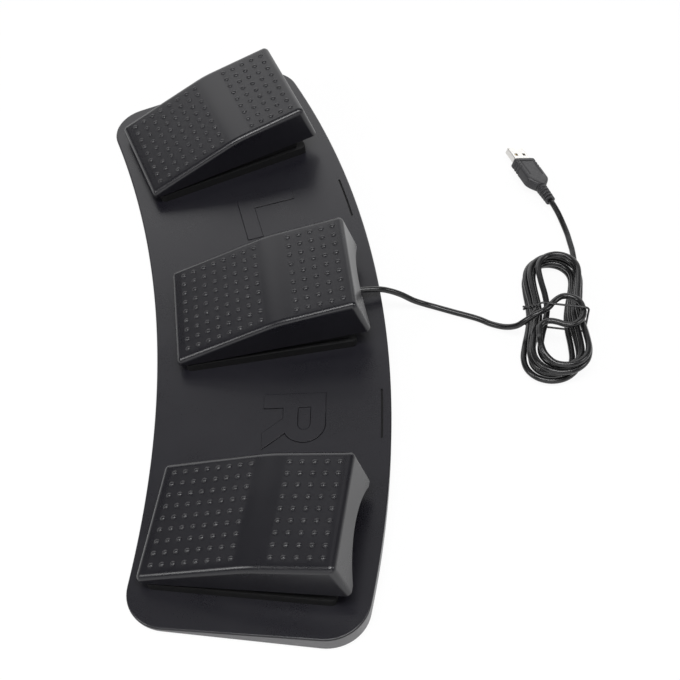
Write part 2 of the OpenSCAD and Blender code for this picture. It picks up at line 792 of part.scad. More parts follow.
// Fixed lower half of a pedal: plinth, shield walls, hinge posts and seats for what is inside
module pedal_body(side) {
    color(dark_plastic) at_pedal(side) difference() {
        union() {
            difference() {
                translate([-pedal_w / 2, lip_overhang, 0])
                    soft_block([pedal_w, body_rear_u - lip_overhang, plinth_h], plinth_corner_r);
                translate([-shield_in, pocket_u, body_floor])
                    cube([2 * shield_in, rear_wall_in - pocket_u, plinth_h]);
            }
            for (v = [-shield_out, shield_in]) along_v(v, v + shield_t) polygon([
                [shield_u, body_floor], [shield_u, shield_h_front], [low_l, shield_h_rear],
                [rear_wall_out, shield_h_rear], [rear_wall_out, body_floor]
            ]);
            translate([-shield_out, rear_wall_in, body_floor])
                cube([2 * shield_out, shield_t, rear_wall_h - body_floor]);
            for (v = [-post_out, post_in])
                translate([v, pin_setback - post_half, body_floor / 2])
                    cube([post_t, 2 * post_half, post_top - body_floor / 2]);
            translate([0, spring_u, body_floor / 2]) cylinder(r = guide_r, h = guide_l + body_floor / 2);
            for (v = [-stop_v, stop_v])
                translate([v, stop_u, body_floor / 2]) cylinder(r = stop_r, h = stop_post_h - body_floor / 2);
            for (p = board_holes)
                translate([p[0], p[1], body_floor / 2])
                    cylinder(r = board_post_r, h = board_h - body_floor / 2);
            for (p = body_screw_vu)
                translate([p[0], p[1], body_floor / 2])
                    cylinder(r = body_post_r, h = body_post_h - body_floor / 2);
        }
        bar_v(-post_out - eps, post_out + eps, pin_setback, pin_h, pin_r + seat_clear);
        for (p = body_screw_vu)
            translate([p[0], p[1], -eps]) cylinder(r = body_screw_r + seat_clear, h = body_screw_l + eps);
        for (p = board_holes)
            translate([p[0], p[1], board_top - board_screw_l])
                cylinder(r = board_screw_r + seat_clear, h = board_screw_l);
        for (v = [-hook_v, hook_v])
            translate([v - hook_half - side_play, rear_wall_in - eps, window_low_h])
                cube([2 * (hook_half + side_play), shield_t + 2 * eps, window_h]);
        for (v = link_ports(side))
            translate([v, link_u, -eps]) cylinder(r = link_hole_r, h = body_floor + 2 * eps);
        if (side == 0) {
            bar_u(rear_wall_in - eps, rear_wall_out + eps, gland_h, gland_d / 2 + seat_clear);
            bar_u(rear_wall_out, body_rear_u + eps, gland_h, gland_notch_r);
        }
    }
}

// Self-tapping screws from under the deck into the pedal bodies
module body_screws() {
    color(steel) for (side = [-1, 0, 1]) at_pedal(side) for (p = body_screw_vu) {
        translate([p[0], p[1], -deck_t - body_head_h]) cylinder(r = body_head_r, h = body_head_h);
        translate([p[0], p[1], -deck_t]) cylinder(r = body_screw_r, h = deck_t + body_screw_l - eps);
    }
}

// A rib of the treadle, from a height up into its top wall
module rib(v_from, v_to, u_from, u_to, bottom) {
    along_v(v_from, v_to) polygon([
        [u_from, bottom], [u_to, bottom], top_point(u_to, wall / 2), top_point(u_from, wall / 2)
    ]);
}

// Outer form of a treadle: two slopes with a blended crease, straight sides and a leaning rear
module treadle_form() {
    corner = crease_u(edge_r);
    low_end = top_point(corner - crease_blend / low_sec, edge_r);
    high_end = top_point(corner + crease_blend / high_sec, edge_r);
    crown = concat(
        [top_point(edge_r, edge_r), top_point(rear_top_u(edge_r), edge_r)],
        [for (t = [0 : 0.25 : 1]) blend(low_end, top_point(corner, edge_r), high_end, t)]
    );
    hem = [[edge_r, hem_front_h], [rear_u(hem_rear_h, edge_r), hem_rear_h]];
    hull() for (v = [edge_r - pedal_w / 2, pedal_w / 2 - edge_r]) {
        for (p = crown) translate([v, p[0], p[1]]) sphere(r = edge_r, $fn = hull_fn);
        for (p = hem) translate([v, p[0], p[1]]) cylinder(r = edge_r, h = eps, $fn = hull_fn);
    }
}

// Treadle: a shell with hinge ears, a spring boss, stop ribs, snap hooks and the light gate's blade
module treadle(side) {
    hollow_low = hem_front_h - 3;
    arch_r = (arch_w * arch_w / 4 + arch_h * arch_h) / (2 * arch_h);
    ear_u = [pin_setback - ear_r, pin_setback + ear_r];
    hook_u = rear_wall_in - hook_gap;
    color(black_plastic) at_pedal(side) difference() {
        union() {
            difference() {
                treadle_form();
                along_v(-skirt_in, skirt_in) polygon([
                    [wall, hollow_low],
                    top_point(wall, wall),
                    top_point(crease_u(wall), wall),
                    top_point(rear_top_u(wall), wall),
                    [rear_u(hollow_low, wall), hollow_low]
                ]);
                bar_u(body_rear_u - wall, pedal_l + 2 * rear_flare, hem_rear_h + arch_h - arch_r, arch_r);
            }
            for (v = [-ear_out, ear_in]) {
                bar_v(v, v + ear_t, pin_setback, pin_h, ear_r);
                rib(v, v + ear_t, ear_u[0], ear_u[1], pin_h);
            }
            rib(-spring_boss, spring_boss, spring_u - spring_boss, spring_u + spring_boss, spring_seat_h);
            translate([0, spring_u, spring_seat_h - guide_l]) cylinder(r = guide_r, h = guide_l + wall / 2);
            for (v = [-stop_v, stop_v])
                rib(v - stop_rib, v + stop_rib, stop_u - stop_rib, stop_u + stop_rib, stop_rib_h);
            rib(gate_v - blade_t / 2, gate_v + blade_t / 2, gate_u - gate_l / 2, gate_u + gate_l / 2,
                board_top + gate_h - blade_dip);
            for (v = [-hook_v, hook_v]) {
                rib(v - hook_half, v + hook_half, hook_u - hook_t, hook_u, hook_tip_h);
                along_v(v - hook_half, v + hook_half) polygon([
                    [hook_u - hook_t / 2, hook_tip_h], [hook_u, hook_tip_h],
                    [hook_u + hook_reach, hook_catch_h], [hook_u - hook_t / 2, hook_catch_h]
                ]);
            }
        }
        bar_v(-ear_out - side_play, ear_out + side_play, pin_setback, pin_h, pin_r + pin_run);
    }
}

// Steel pin through the ears and posts, kept in by the skirts
module hinge_pin(side) {
    color(steel) at_pedal(side) bar_v(-pin_half, pin_half, pin_setback, pin_h, pin_r);
}

// Coil spring between the body's floor and the treadle's boss
module return_spring(side) {
    low = body_floor + wire_d / 2 + eps / 2;
    high = spring_seat_h - wire_d / 2 - eps / 2;
    turn_rings = 8;
    rings = spring_turns * turn_rings;
    coil = [
        for (i = [0 : rings])
            let (a = 360 * i / turn_rings)
            [spring_d / 2 * cos(a), spring_u + spring_d / 2 * sin(a), low + (high - low) * i / rings]
    ];
    color(steel) at_pedal(side) tube(coil, wire_d / 2, 6);
}

// Rubber caps on the body's stop posts
module bump_stops(side) {
    color(rubber_black) at_pedal(side) for (v = [-stop_v, stop_v])
        translate([v, stop_u, stop_post_h]) cylinder(r = stop_r, h = stop_h);
}

// Circuit board of one pedal
module pedal_board(side) {
    color(board_green) at_pedal(side) difference() {
        translate([-board_half, board_rear_u - board_l, board_h]) cube([2 * board_half, board_l, board_t]);
        for (p = board_holes)
            translate([p[0], p[1], board_h - eps])
                cylinder(r = board_screw_r + hole_clear, h = board_t + 2 * eps);
    }
}

// Small screws that hold the boards
module board_screws() {
    color(steel) for (side = [-1, 0, 1]) at_pedal(side) for (p = board_holes) {
        translate([p[0], p[1], board_top]) cylinder(r = board_head_r, h = board_head_h);
        translate([p[0], p[1], board_top - board_screw_l + eps])
            cylinder(r = board_screw_r, h = board_screw_l - eps);
    }
}

// U-shaped light gate: two pillars on a foot, with a slot for the blade
module light_gate(side) {
    color(chip_black) at_pedal(side) translate([gate_v - gate_w / 2, gate_u - gate_deep / 2, board_top])
        difference() {
            cube([gate_w, gate_deep, gate_h]);
            translate([gate_pillar, -eps, gate_floor]) cube([gate_slot, gate_deep + 2 * eps, gate_h]);
        }
}

// Controller chip on the middle board
module controller_chip() {
    color(chip_black) at_pedal(0) translate([chip_v, board_rear_u - chip_in, board_top]) cube(chip_size);
}

// White connectors under the boards, one for each end of the link wires
module link_connectors() {
    color(nylon_white) for (side = [-1, 0, 1]) at_pedal(side) for (v = link_ports(side))
        translate([v - link_plug[0] / 2, link_u - link_plug[1] / 2, link_top]) cube(link_plug);
}

// Wire from an outer pedal to the middle one, close under the deck, with a sleeve on each riser
module link_cable(side) {
    outer = deck_xy(side, -side * link_v, link_u);
    inner = deck_xy(0, side * link_v, link_u);
    run = inner - outer;
    sleeve_r = link_d / 2 + link_sleeve;
    color(cord_black) on_deck() {
        for (p = [outer, inner])
            translate([p[0], p[1], -link_depth - sleeve_r])
                cylinder(r = sleeve_r, h = link_depth + sleeve_r + link_top);
        translate([outer[0], outer[1], -link_depth]) rotate([0, 90, atan2(run[1], run[0])])
            cylinder(r = link_d / 2, h = norm(run));
    }
}

// Connector for the cord, at the rear edge under the middle board
module cord_connector() {
    color(nylon_white) at_pedal(0)
        translate([-cord_plug[0] / 2, board_rear_u - cord_plug[1], board_h - cord_plug[2]]) cube(cord_plug);
}

// Short end of the cord's core, from the gland to its connector
module cord_pigtail() {
    color(cord_black) at_pedal(0)
        bar_u(board_rear_u, rear_wall_in - gland_flange_t, board_h - cord_plug[2] / 2, pigtail_r);
}

// Rubber gland: a flange on either side of the rear wall and a sleeve behind it
module cord_gland() {
    color(rubber_black) at_pedal(0) {
        bar_u(rear_wall_in - gland_flange_t, rear_wall_in, gland_h, gland_flange_r);
        bar_u(rear_wall_in - gland_flange_t / 2, gland_end_u, gland_h, gland_d / 2);
        bar_u(rear_wall_out, rear_wall_out + gland_flange_t, gland_h, gland_flange_r);
    }
}

// Cord from the gland to the hank
module cord_lead() {
    color(cord_black) tube(lead_path, cord_r, 8);
}

// The cord's loops, tied at the waist
module cord_hank() {
    color(cord_black) tube(hank_path, cord_r, 6);
}

// Cord from the hank to the plug
module cord_tail() {
    color(cord_black) tube(tail_path, cord_r, 8);
}

// Band round the hank's waist and the lead's loop, and two short twisted ends
module cord_tie() {
    tie_x = hank_run / 6;
    tie_ring = run_rings / 2 * tie_x / hank_run;
    room = cord_r + tie_clear;
    right = max([
        for (k = [loop_rings - tie_ring : loop_rings : hank_rings]) hank_point(k)[1]
    ]) + room;
    left = max([
        for (k = [loop_rings + 2 * run_rings + tie_ring : loop_rings : hank_rings]) -hank_point(k)[1]
    ]) + room;
    low = tie_floor + tie_t;
    top = over_z + room;
    cut = 1.2;
    tail_r = 0.6;
    tail_l = 9;
    tail_spread = 18;
    // Outline round the cords, grown by the band's thickness on its outside
    function band(t) = [
        [-left - t, low - t + cut], [-left - t + cut, low - t],
        [right + t - cut, low - t], [right + t, low - t + cut],
        [right + t, top + t - cut], [right + t - cut, top + t],
        [-left - t + cut, top + t], [-left - t, top + t - cut]
    ];
    color(rubber_black) translate([hank_at[0], hank_at[1], 0]) rotate([0, 0, hank_turn])
        translate([tie_x - tie_w / 2, 0, 0]) {
            rotate([90, 0, 90]) difference() {
                linear_extrude(height = tie_w) polygon(band(tie_t));
                translate([0, 0, -eps]) linear_extrude(height = tie_w + 2 * eps) polygon(band(0));
            }
            for (s = [-1, 1])
                translate([tie_w / 2 + s * tail_r, -left - tie_t / 2, top - cut - tail_r])
                    rotate([90, 0, s * tail_spread]) cylinder(r = tail_r, h = tail_l);
        }
}

// Stand something on the plug's axis, with X towards its tip
module at_plug() {
    translate(plug_point(0)) rotate([0, 0, plug_turn]) rotate([plug_roll, 0, 0]) children();
}

// Overmoulded grip with side notches, a shoulder and a ribbed strain relief
module plug_grip() {
    grip_from = relief_l + shoulder_l;
    grip_to = relief_l + grip_l;
    rib_pitch = relief_l / relief_ribs;
    relief_slope = (relief_r - relief_end_r) / relief_l;
    relief_outline = concat(
        [[0, 0]],
        [for (i = [0 : relief_ribs - 1]) each [
            [relief_end_r + i * rib_pitch * relief_slope, i * rib_pitch],
            [relief_end_r + i * rib_pitch * relief_slope, (i + rib_share) * rib_pitch],
            [relief_end_r + i * rib_pitch * relief_slope - relief_groove, (i + rib_share) * rib_pitch],
            [relief_end_r + i * rib_pitch * relief_slope - relief_groove, (i + 1) * rib_pitch]
        ]],
        [[relief_r, relief_l], [relief_r, relief_l + eps], [0, relief_l + eps]]
    );
    color(grip_grey) at_plug() {
        rotate([0, 90, 0]) rotate_extrude() polygon(relief_outline);
        difference() {
            union() {
                hull() {
                    translate([relief_l, 0, 0]) rotate([0, 90, 0]) cylinder(r = relief_r, h = eps, $fn = 32);
                    translate([grip_from, 0, 0]) grip_slice();
                }
                translate([grip_from, -grip_w / 2, grip_h / 2]) rotate([0, 90, 0])
                    soft_block([grip_h, grip_w, grip_to - grip_from], grip_corner_r);
            }
            translate([grip_to - shell_in, -shell_w / 2, -shell_h / 2])
                cube([shell_in + eps, shell_w, shell_h]);
            for (i = [0 : grip_notches - 1]) for (s = [-1, 1])
                translate([
                    grip_to - grip_notch_in - i * grip_notch_pitch,
                    s * grip_w / 2 - grip_notch_depth,
                    -grip_h
                ]) cube([grip_notch_w, 2 * grip_notch_depth, 2 * grip_h]);
        }
    }
}

// Thin slice of the grip, for its shoulder
module grip_slice() {
    translate([0, -grip_w / 2, grip_h / 2]) rotate([0, 90, 0])
        soft_block([grip_h, grip_w, eps], grip_corner_r, $fn = 32);
}

// Folded steel shell with a pair of latch holes on each face
module plug_shell() {
    from = relief_l + grip_l - shell_in;
    hole_at = relief_l + grip_l + shell_l / 2 - shell_hole;
    color(steel) at_plug() difference() {
        translate([from, -shell_w / 2, -shell_h / 2]) cube([shell_in + shell_l, shell_w, shell_h]);
        translate([from - eps, shell_wall - shell_w / 2, shell_wall - shell_h / 2])
            cube([shell_in + shell_l + 2 * eps, shell_w - 2 * shell_wall, shell_h - 2 * shell_wall]);
        for (s = [-1, 1])
            translate([hole_at, s * shell_w / 4 - shell_hole / 2, -shell_h])
                cube([shell_hole, shell_hole, 2 * shell_h]);
    }
}

// Insulator that fills half the shell
module plug_tongue() {
    from = relief_l + grip_l - shell_in;
    color(nylon_white) at_plug() translate([from, shell_wall - shell_w / 2, shell_wall - shell_h / 2])
        cube([shell_in + shell_l - tongue_short, shell_w - 2 * shell_wall, tongue_h]);
}

// Four gold contacts on the insulator
module plug_contacts() {
    from = relief_l + grip_l + shell_l - 2 * tongue_short - contact_size[0];
    tongue_top = shell_wall - shell_h / 2 + tongue_h;
    color(gold) at_plug() for (i = [-1.5 : 1 : 1.5])
        translate([from, i * contact_pitch - contact_size[1] / 2, tongue_top]) cube(contact_size);
}

base_plate();
bottom_cover();
cover_screws();
rubber_feet();
pedal_body(-1);  // pedal_body_left
pedal_body(0);  // pedal_body_middle
pedal_body(1);  // pedal_body_right
body_screws();
treadle(-1);  // treadle_left
treadle(0);  // treadle_middle
treadle(1);  // treadle_right
hinge_pin(-1);  // hinge_pin_left
hinge_pin(0);  // hinge_pin_middle
hinge_pin(1);  // hinge_pin_right
return_spring(-1);  // return_spring_left
return_spring(0);  // return_spring_middle
return_spring(1);  // return_spring_right
bump_stops(-1);  // bump_stops_left
bump_stops(0);  // bump_stops_middle
bump_stops(1);  // bump_stops_right
pedal_board(-1);  // sensor_board_left
pedal_board(0);  // controller_board
pedal_board(1);  // sensor_board_right
board_screws();
light_gate(-1);  // light_gate_left
light_gate(0);  // light_gate_middle
light_gate(1);  // light_gate_right
controller_chip();
link_connectors();
link_cable(-1);  // link_cable_left
link_cable(1);  // link_cable_right
cord_connector();
cord_pigtail();
cord_gland();
cord_lead();
cord_hank();
cord_tail();
cord_tie();
plug_grip();
plug_shell();
plug_tongue();
plug_contacts();
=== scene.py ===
"""Dress the three-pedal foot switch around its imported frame.

The part's frame has +X to the user's right, +Y away from the user and Z up, with the origin on the
floor under the middle of the base. Sizes in the classes are in millimetres, and a mesh is scaled to
metres when it is finished. Each pedal has a frame of its own: X across it, Y from its low edge to
its high edge and Z off the deck.
"""

import json
import logging
import math
from dataclasses import dataclass, field, replace
from enum import Enum
from typing import Any, Callable, Iterable, Optional, Sequence, Union

import bmesh
import bpy
from mathutils import Matrix, Vector

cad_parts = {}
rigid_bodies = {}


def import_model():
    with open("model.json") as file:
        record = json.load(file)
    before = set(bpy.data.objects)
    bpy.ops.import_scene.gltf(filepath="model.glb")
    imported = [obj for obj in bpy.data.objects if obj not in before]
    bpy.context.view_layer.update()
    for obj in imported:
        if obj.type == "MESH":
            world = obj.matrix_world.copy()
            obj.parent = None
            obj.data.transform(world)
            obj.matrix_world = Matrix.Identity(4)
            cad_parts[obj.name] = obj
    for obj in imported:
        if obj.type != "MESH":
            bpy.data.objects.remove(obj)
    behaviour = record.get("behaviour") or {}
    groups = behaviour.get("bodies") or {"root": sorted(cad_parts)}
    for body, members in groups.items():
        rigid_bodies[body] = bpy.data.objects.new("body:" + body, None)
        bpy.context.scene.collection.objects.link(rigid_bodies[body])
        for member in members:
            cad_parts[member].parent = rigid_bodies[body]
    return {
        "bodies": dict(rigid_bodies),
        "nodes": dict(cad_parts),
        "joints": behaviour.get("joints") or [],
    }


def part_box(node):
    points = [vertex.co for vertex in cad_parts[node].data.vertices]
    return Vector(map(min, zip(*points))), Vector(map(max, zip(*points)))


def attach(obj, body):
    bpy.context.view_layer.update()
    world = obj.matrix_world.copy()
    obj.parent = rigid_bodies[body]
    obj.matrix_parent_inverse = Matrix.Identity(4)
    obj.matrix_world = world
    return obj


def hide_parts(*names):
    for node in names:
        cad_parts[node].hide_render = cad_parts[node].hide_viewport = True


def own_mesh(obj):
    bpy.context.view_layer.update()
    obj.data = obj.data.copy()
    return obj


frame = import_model()

log = logging.getLogger("foot_switch")

BASE_BODY = "base"

# A millimetre in metres, and the distances in millimetres within which points are joined
MM = 0.001
WELD = 0.001
TINY = 0.0005

# Pieces that the small rounding of a flat form is cut into
SOFT_STEPS = 2

# What a noise from 0 to 1 is about on the whole
NOISE_MEAN = 0.5

BMesh = bmesh.types.BMesh
Colour = tuple[float, float, float]
Point = Sequence[float]
Outline = list[tuple[float, float]]
Feed = Union["Value", float, Sequence[float]]
Links = dict[Union[int, str], Feed]


# Choices

class Side(Enum):
    """One of the three pedals, with its place in the fan."""

    LEFT = -1
    MIDDLE = 0
    RIGHT = 1

    @property
    def word(self) -> str:
        """Name of the side as the nodes spell it."""
        return self.name.lower()

    @property
    def body(self) -> str:
        """Name of the body that the side's treadle moves with."""
        return f"{self.word}_treadle"

    @property
    def joint(self) -> str:
        """Name of the joint that the side's treadle turns on."""
        return f"{self.word}_press"


class Slot(Enum):
    """Material slots of the record."""

    BLACK_PLASTIC = "black_plastic"
    STEEL = "steel"
    CORD = "cord"
    RUBBER = "rubber"
    GRIP = "grip"
    NICKEL = "nickel"


# Shader maths

class Value:
    """A shader socket that Python's operators work on."""

    def __init__(self, sheet: "NodeSheet", socket: Optional[bpy.types.NodeSocket]) -> None:
        """Wrap one output socket of a sheet."""
        self.sheet = sheet
        self.socket = socket

    def _math(self, operation: str, first: Feed, second: Feed) -> "Value":
        """Add one Math node for two values."""
        return self.sheet.node("ShaderNodeMath", {"operation": operation}, {0: first, 1: second})

    def __add__(self, other: Feed) -> "Value":
        """Sum."""
        return self._math("ADD", self, other)

    __radd__ = __add__

    def __sub__(self, other: Feed) -> "Value":
        """Difference."""
        return self._math("SUBTRACT", self, other)

    def __rsub__(self, other: Feed) -> "Value":
        """Difference, reflected."""
        return self._math("SUBTRACT", other, self)

    def __mul__(self, other: Feed) -> "Value":
        """Product."""
        return self._math("MULTIPLY", self, other)

    __rmul__ = __mul__


class NodeSheet:
    """One node tree, with short ways to add what a finish is made of."""

    def __init__(self, tree: bpy.types.NodeTree) -> None:
        """Start a tree afresh."""
        self.tree = tree
        tree.nodes.clear()

    def node(
        self,
        kind: str,
        settings: Optional[dict[str, Any]] = None,
        feeds: Optional[Links] = None,
        output: Union[int, str] = 0,
    ) -> Value:
        """Add a node.

        Args:
            kind: The node's type.
            settings: Its settings, which are set first.
            feeds: Values or links of its input sockets.
            output: The output socket that is wanted.

        Returns:
            The wanted output, wrapped.
        """
        made = self.tree.nodes.new(kind)
        for key, setting in (settings or {}).items():
            setattr(made, key, setting)
        for key, feed in (feeds or {}).items():
            if isinstance(feed, Value):
                self.tree.links.new(feed.socket, made.inputs[key])
            else:
                made.inputs[key].default_value = feed
        return Value(self, made.outputs[output] if made.outputs else None)

    def place(self) -> Value:
        """Place on the object, in metres."""
        return self.node("ShaderNodeTexCoord", output="Object")

    def part_of(self, vector: Value, axis: str) -> Value:
        """One of the three numbers of a vector."""
        return self.node("ShaderNodeSeparateXYZ", feeds={0: vector}, output=axis)

    def stretch(self, vector: Value, factors: Point) -> Value:
        """A vector with each of its numbers multiplied."""
        return self.node("ShaderNodeVectorMath", {"operation": "MULTIPLY"}, {0: vector, 1: factors})

    def noise(self, vector: Value, size: float, detail: float = 3.0) -> Value:
        """Cloudy noise from 0 to 1.

        Args:
            vector: Where on the object.
            size: Size of one patch, in metres.
            detail: How many finer layers it has.

        Returns:
            The noise's value.
        """
        return self.node("ShaderNodeTexNoise",
                         feeds={"Vector": vector, "Scale": 1 / size, "Detail": detail})

    def mix(self, factor: Feed, first: Union[Value, Colour], second: Union[Value, Colour]) -> Value:
        """Blend of two colours, by the sockets that a Mix node has for colours."""
        one, two = (c if isinstance(c, Value) else (*c, 1.0) for c in (first, second))
        return self.node("ShaderNodeMix", {"data_type": "RGBA"}, {0: factor, 6: one, 7: two}, 2)

    def rise(self, value: Value, low: float, high: float) -> Value:
        """Smooth step from 0 to 1 as a value goes from low to high."""
        return self.node("ShaderNodeMapRange", {"interpolation_type": "SMOOTHSTEP"},
                         {"Value": value, "From Min": low, "From Max": high})

    def bump(self, height: Feed, depth: float) -> Value:
        """Normal of a surface that a height from 0 to 1 raises by a depth in metres."""
        return self.node("ShaderNodeBump",
                         feeds={"Strength": 1.0, "Distance": depth, "Height": height})


# Finishes

@dataclass(frozen=True)
class Finish:
    """A finish: a name, the shader's plain numbers and what varies over the surface.

    Args:
        name: Name of the material.
        colour: Its main colour.
        tint: The colour that it drifts to in patches.
        roughness: Its middle roughness.
        specular: The shader's specular level.
        uneven: How much the roughness varies.
        patch: Size of the patches of colour, in metres.
        grain: Size of the fine grain, in metres.
        depth: Depth of the fine grain, in metres.
        layers: How many finer layers the fine grain has.
    """

    name: str
    colour: Colour
    tint: Colour
    roughness: float
    specular: float = 0.5
    uneven: float = 0.12
    patch: float = 0.03
    grain: float = 0.0006
    depth: float = 0.00002
    layers: float = 2.0

    def make(self) -> bpy.types.Material:
        """Build the material.

        Returns:
            The material.
        """
        material = bpy.data.materials.new(self.name)
        material.use_nodes = True
        sheet = NodeSheet(material.node_tree)
        feeds = {**self.plain(), **self.surface(sheet)}
        shader = sheet.node("ShaderNodeBsdfPrincipled", feeds=feeds)
        sheet.node("ShaderNodeOutputMaterial", feeds={"Surface": shader})
        return material

    def plain(self) -> Links:
        """Numbers that are the same all over the surface."""
        return {"Specular IOR Level": self.specular}

    def rough(self, *noises: Value) -> Feed:
        """Roughness that varies with noises.

        Args:
            noises: The noises, each from 0 to 1.

        Returns:
            The roughness.
        """
        rough: Feed = self.roughness
        for noise in noises:
            rough = rough + (noise - NOISE_MEAN) * self.uneven
        return rough

    def surface(self, sheet: NodeSheet) -> Links:
        """What varies over the surface: colour, roughness and fine grain.

        Args:
            sheet: The material's node tree.

        Returns:
            Links for the shader's sockets.
        """
        place = sheet.place()
        patches = sheet.noise(place, self.patch)
        grain = sheet.noise(place, self.grain, self.layers)
        return {
            "Base Color": sheet.mix(patches, self.colour, self.tint),
            "Roughness": self.rough(patches, grain),
            "Normal": sheet.bump(grain, self.depth),
        }


@dataclass(frozen=True)
class TreadPlastic(Finish):
    """Moulded plastic of a treadle: grained where its studs are and smooth at the crease.

    Args:
        zones: First and last place of each grained zone, along the pedal, in metres.
        half: Half the width of the grained zones, in metres.
        edge: Width over which the grain fades, in metres.
        shares: How much of the tint the patches and the grain bring.
        at: Where the pedal's frame stands, in metres.
        turn: How the pedal's frame is turned.
    """

    zones: tuple[tuple[float, float], ...] = ((0.0045, 0.0545), (0.0695, 0.1015))
    half: float = 0.0316
    edge: float = 0.002
    shares: tuple[float, float] = (0.6, 0.4)
    at: tuple[float, float, float] = (0.0, 0.0, 0.0)
    turn: tuple[float, float, float] = (0.0, 0.0, 0.0)

    def on(self, word: str, pedal: Matrix) -> "TreadPlastic":
        """The same plastic on one pedal, whose name and frame are given."""
        return replace(self, name=f"{self.name}_{word}", at=tuple(pedal.translation),
                       turn=tuple(pedal.to_euler()))

    def surface(self, sheet: NodeSheet) -> Links:
        """Colour, roughness and grain that follow the studded zones.

        Args:
            sheet: The material's node tree.

        Returns:
            Links for the shader's sockets.
        """
        place = sheet.node("ShaderNodeMapping", {"vector_type": "TEXTURE"},
                           {"Vector": sheet.place(), "Location": self.at, "Rotation": self.turn})
        across, along = sheet.part_of(place, "X"), sheet.part_of(place, "Y")
        patches = sheet.noise(place, self.patch)
        grain = sheet.noise(place, self.grain, self.layers)
        studded: Feed = 0.0
        for low, high in self.zones:
            studded = self.within(sheet, along, low, high) + studded
        speckle = grain * studded * self.within(sheet, across, -self.half, self.half)
        cloud, dots = self.shares
        return {
            "Base Color": sheet.mix(patches * cloud + speckle * dots, self.colour, self.tint),
            "Roughness": self.rough(patches) + speckle * self.uneven,
            "Normal": sheet.bump(speckle, self.depth),
        }

    def within(self, sheet: NodeSheet, place: Value, low: float, high: float) -> Value:
        """1 between two places, fading to 0 at both."""
        past = sheet.rise(place, low, low + self.edge)
        return past * (1 - sheet.rise(place, high - self.edge, high))


@dataclass(frozen=True)
class PlatePlastic(Finish):
    """Moulded plastic of the base: smooth and dark on top, rougher round its sides, whose paler
    colour is a painted reflection of the white floor.

    Args:
        side: The colour of the sides, paler than the top: a painted reflection of the white floor.
        line: The colour of painted shade inside the deck's fine lines and grooves and on side faces
            close to the deck's level.
        lean: How far a face looks up where the painted pale side ends and where the top begins.
        slope: How much the deck rises along Y.
        level: Height of the deck over the part's origin, in metres.
        skin: Where the pale sides end and the painted shade of the deck's lines begins, in metres
            from the deck.
        sunk: Where the floor of a groove, painted in shade, ends and the deck begins, in metres
            from the deck.
        dull: How much rougher the floor of a groove is.
    """

    # Painted reflection of the white floor, for the sides
    side: Colour = (0.085, 0.084, 0.088)
    # Painted shade, for the lines and grooves
    line: Colour = (0.0010, 0.0010, 0.0014)
    lean: tuple[float, float] = (0.15, 0.6)
    slope: float = 0.0787
    level: float = 0.008718
    skin: tuple[float, float] = (-0.0010, -0.0008)
    sunk: tuple[float, float] = (-0.0006, -0.0003)
    dull: float = 0.6

    def surface(self, sheet: NodeSheet) -> Links:
        """Colour, roughness and grain, with a painted reflection on the paler sides and painted
        shade in the lines and grooves.

        Args:
            sheet: The material's node tree.

        Returns:
            Links for the shader's sockets.
        """
        links = super().surface(sheet)
        upward = sheet.part_of(sheet.node("ShaderNodeNewGeometry", output="Normal"), "Z")
        # Faces that look sideways get the pale side colour, a painted reflection of the white floor
        top = sheet.rise(upward, *self.lean)
        place = sheet.place()
        over = sheet.part_of(place, "Z") - sheet.part_of(place, "Y") * self.slope - self.level
        # Side faces near the deck's level, such as the walls of the marks and grooves, get the
        # painted shade colour
        side = sheet.mix(sheet.rise(over, *self.skin), self.side, self.line)
        # The floor of a groove gets the painted shade colour too
        flush = sheet.rise(over, *self.sunk)
        deck = sheet.mix(flush, self.line, links["Base Color"])
        rough = links["Roughness"] + (1 - top) * self.uneven + (1 - flush) * top * self.dull
        return {**links, "Base Color": sheet.mix(top, side, deck), "Roughness": rough}


@dataclass(frozen=True)
class DrawnMetal(Finish):
    """Metal with fine lines along one direction of its piece.

    Args:
        lines: How the place is stretched to draw the lines.
    """

    lines: tuple[float, float, float] = (0.1, 1.0, 1.0)

    def plain(self) -> Links:
        """A full metal."""
        return {"Metallic": 1.0, "Specular IOR Level": self.specular}

    def surface(self, sheet: NodeSheet) -> Links:
        """Colour, roughness and drawn lines.

        Args:
            sheet: The material's node tree.

        Returns:
            Links for the shader's sockets.
        """
        place = sheet.place()
        patches = sheet.noise(place, self.patch)
        drawn = sheet.noise(sheet.stretch(place, self.lines), self.grain)
        return {
            "Base Color": sheet.mix(patches, self.colour, self.tint),
            "Roughness": self.rough(drawn, patches),
            "Normal": sheet.bump(drawn, self.depth),
        }


@dataclass(frozen=True)
class CircuitBoard(Finish):
    """Green board with rows of traces under its mask.

    Args:
        trace: The colour of the traces.
        pitch: Distance between traces, in metres.
        stagger: How far each row of traces is shifted, in pitches.
        width: Width of a trace, in pitches.
        long: Length of the fields between traces, in pitches.
    """

    trace: Colour = (0.03, 0.16, 0.07)
    pitch: float = 0.0016
    stagger: float = 0.5
    width: float = 0.12
    long: float = 4.0

    def surface(self, sheet: NodeSheet) -> Links:
        """Colour of mask and traces, with the traces a little raised.

        Args:
            sheet: The material's node tree.

        Returns:
            Links for the shader's sockets.
        """
        place = sheet.place()
        patches = sheet.noise(place, self.patch)
        rows = sheet.node("ShaderNodeTexBrick", {"offset": self.stagger}, {
            "Vector": place, "Scale": 1 / self.pitch, "Mortar Size": self.width,
            "Brick Width": self.long,
        }, "Fac")
        return {
            "Base Color": sheet.mix(rows, sheet.mix(patches, self.colour, self.tint), self.trace),
            "Roughness": self.rough(patches),
            "Normal": sheet.bump(rows, self.depth),
        }


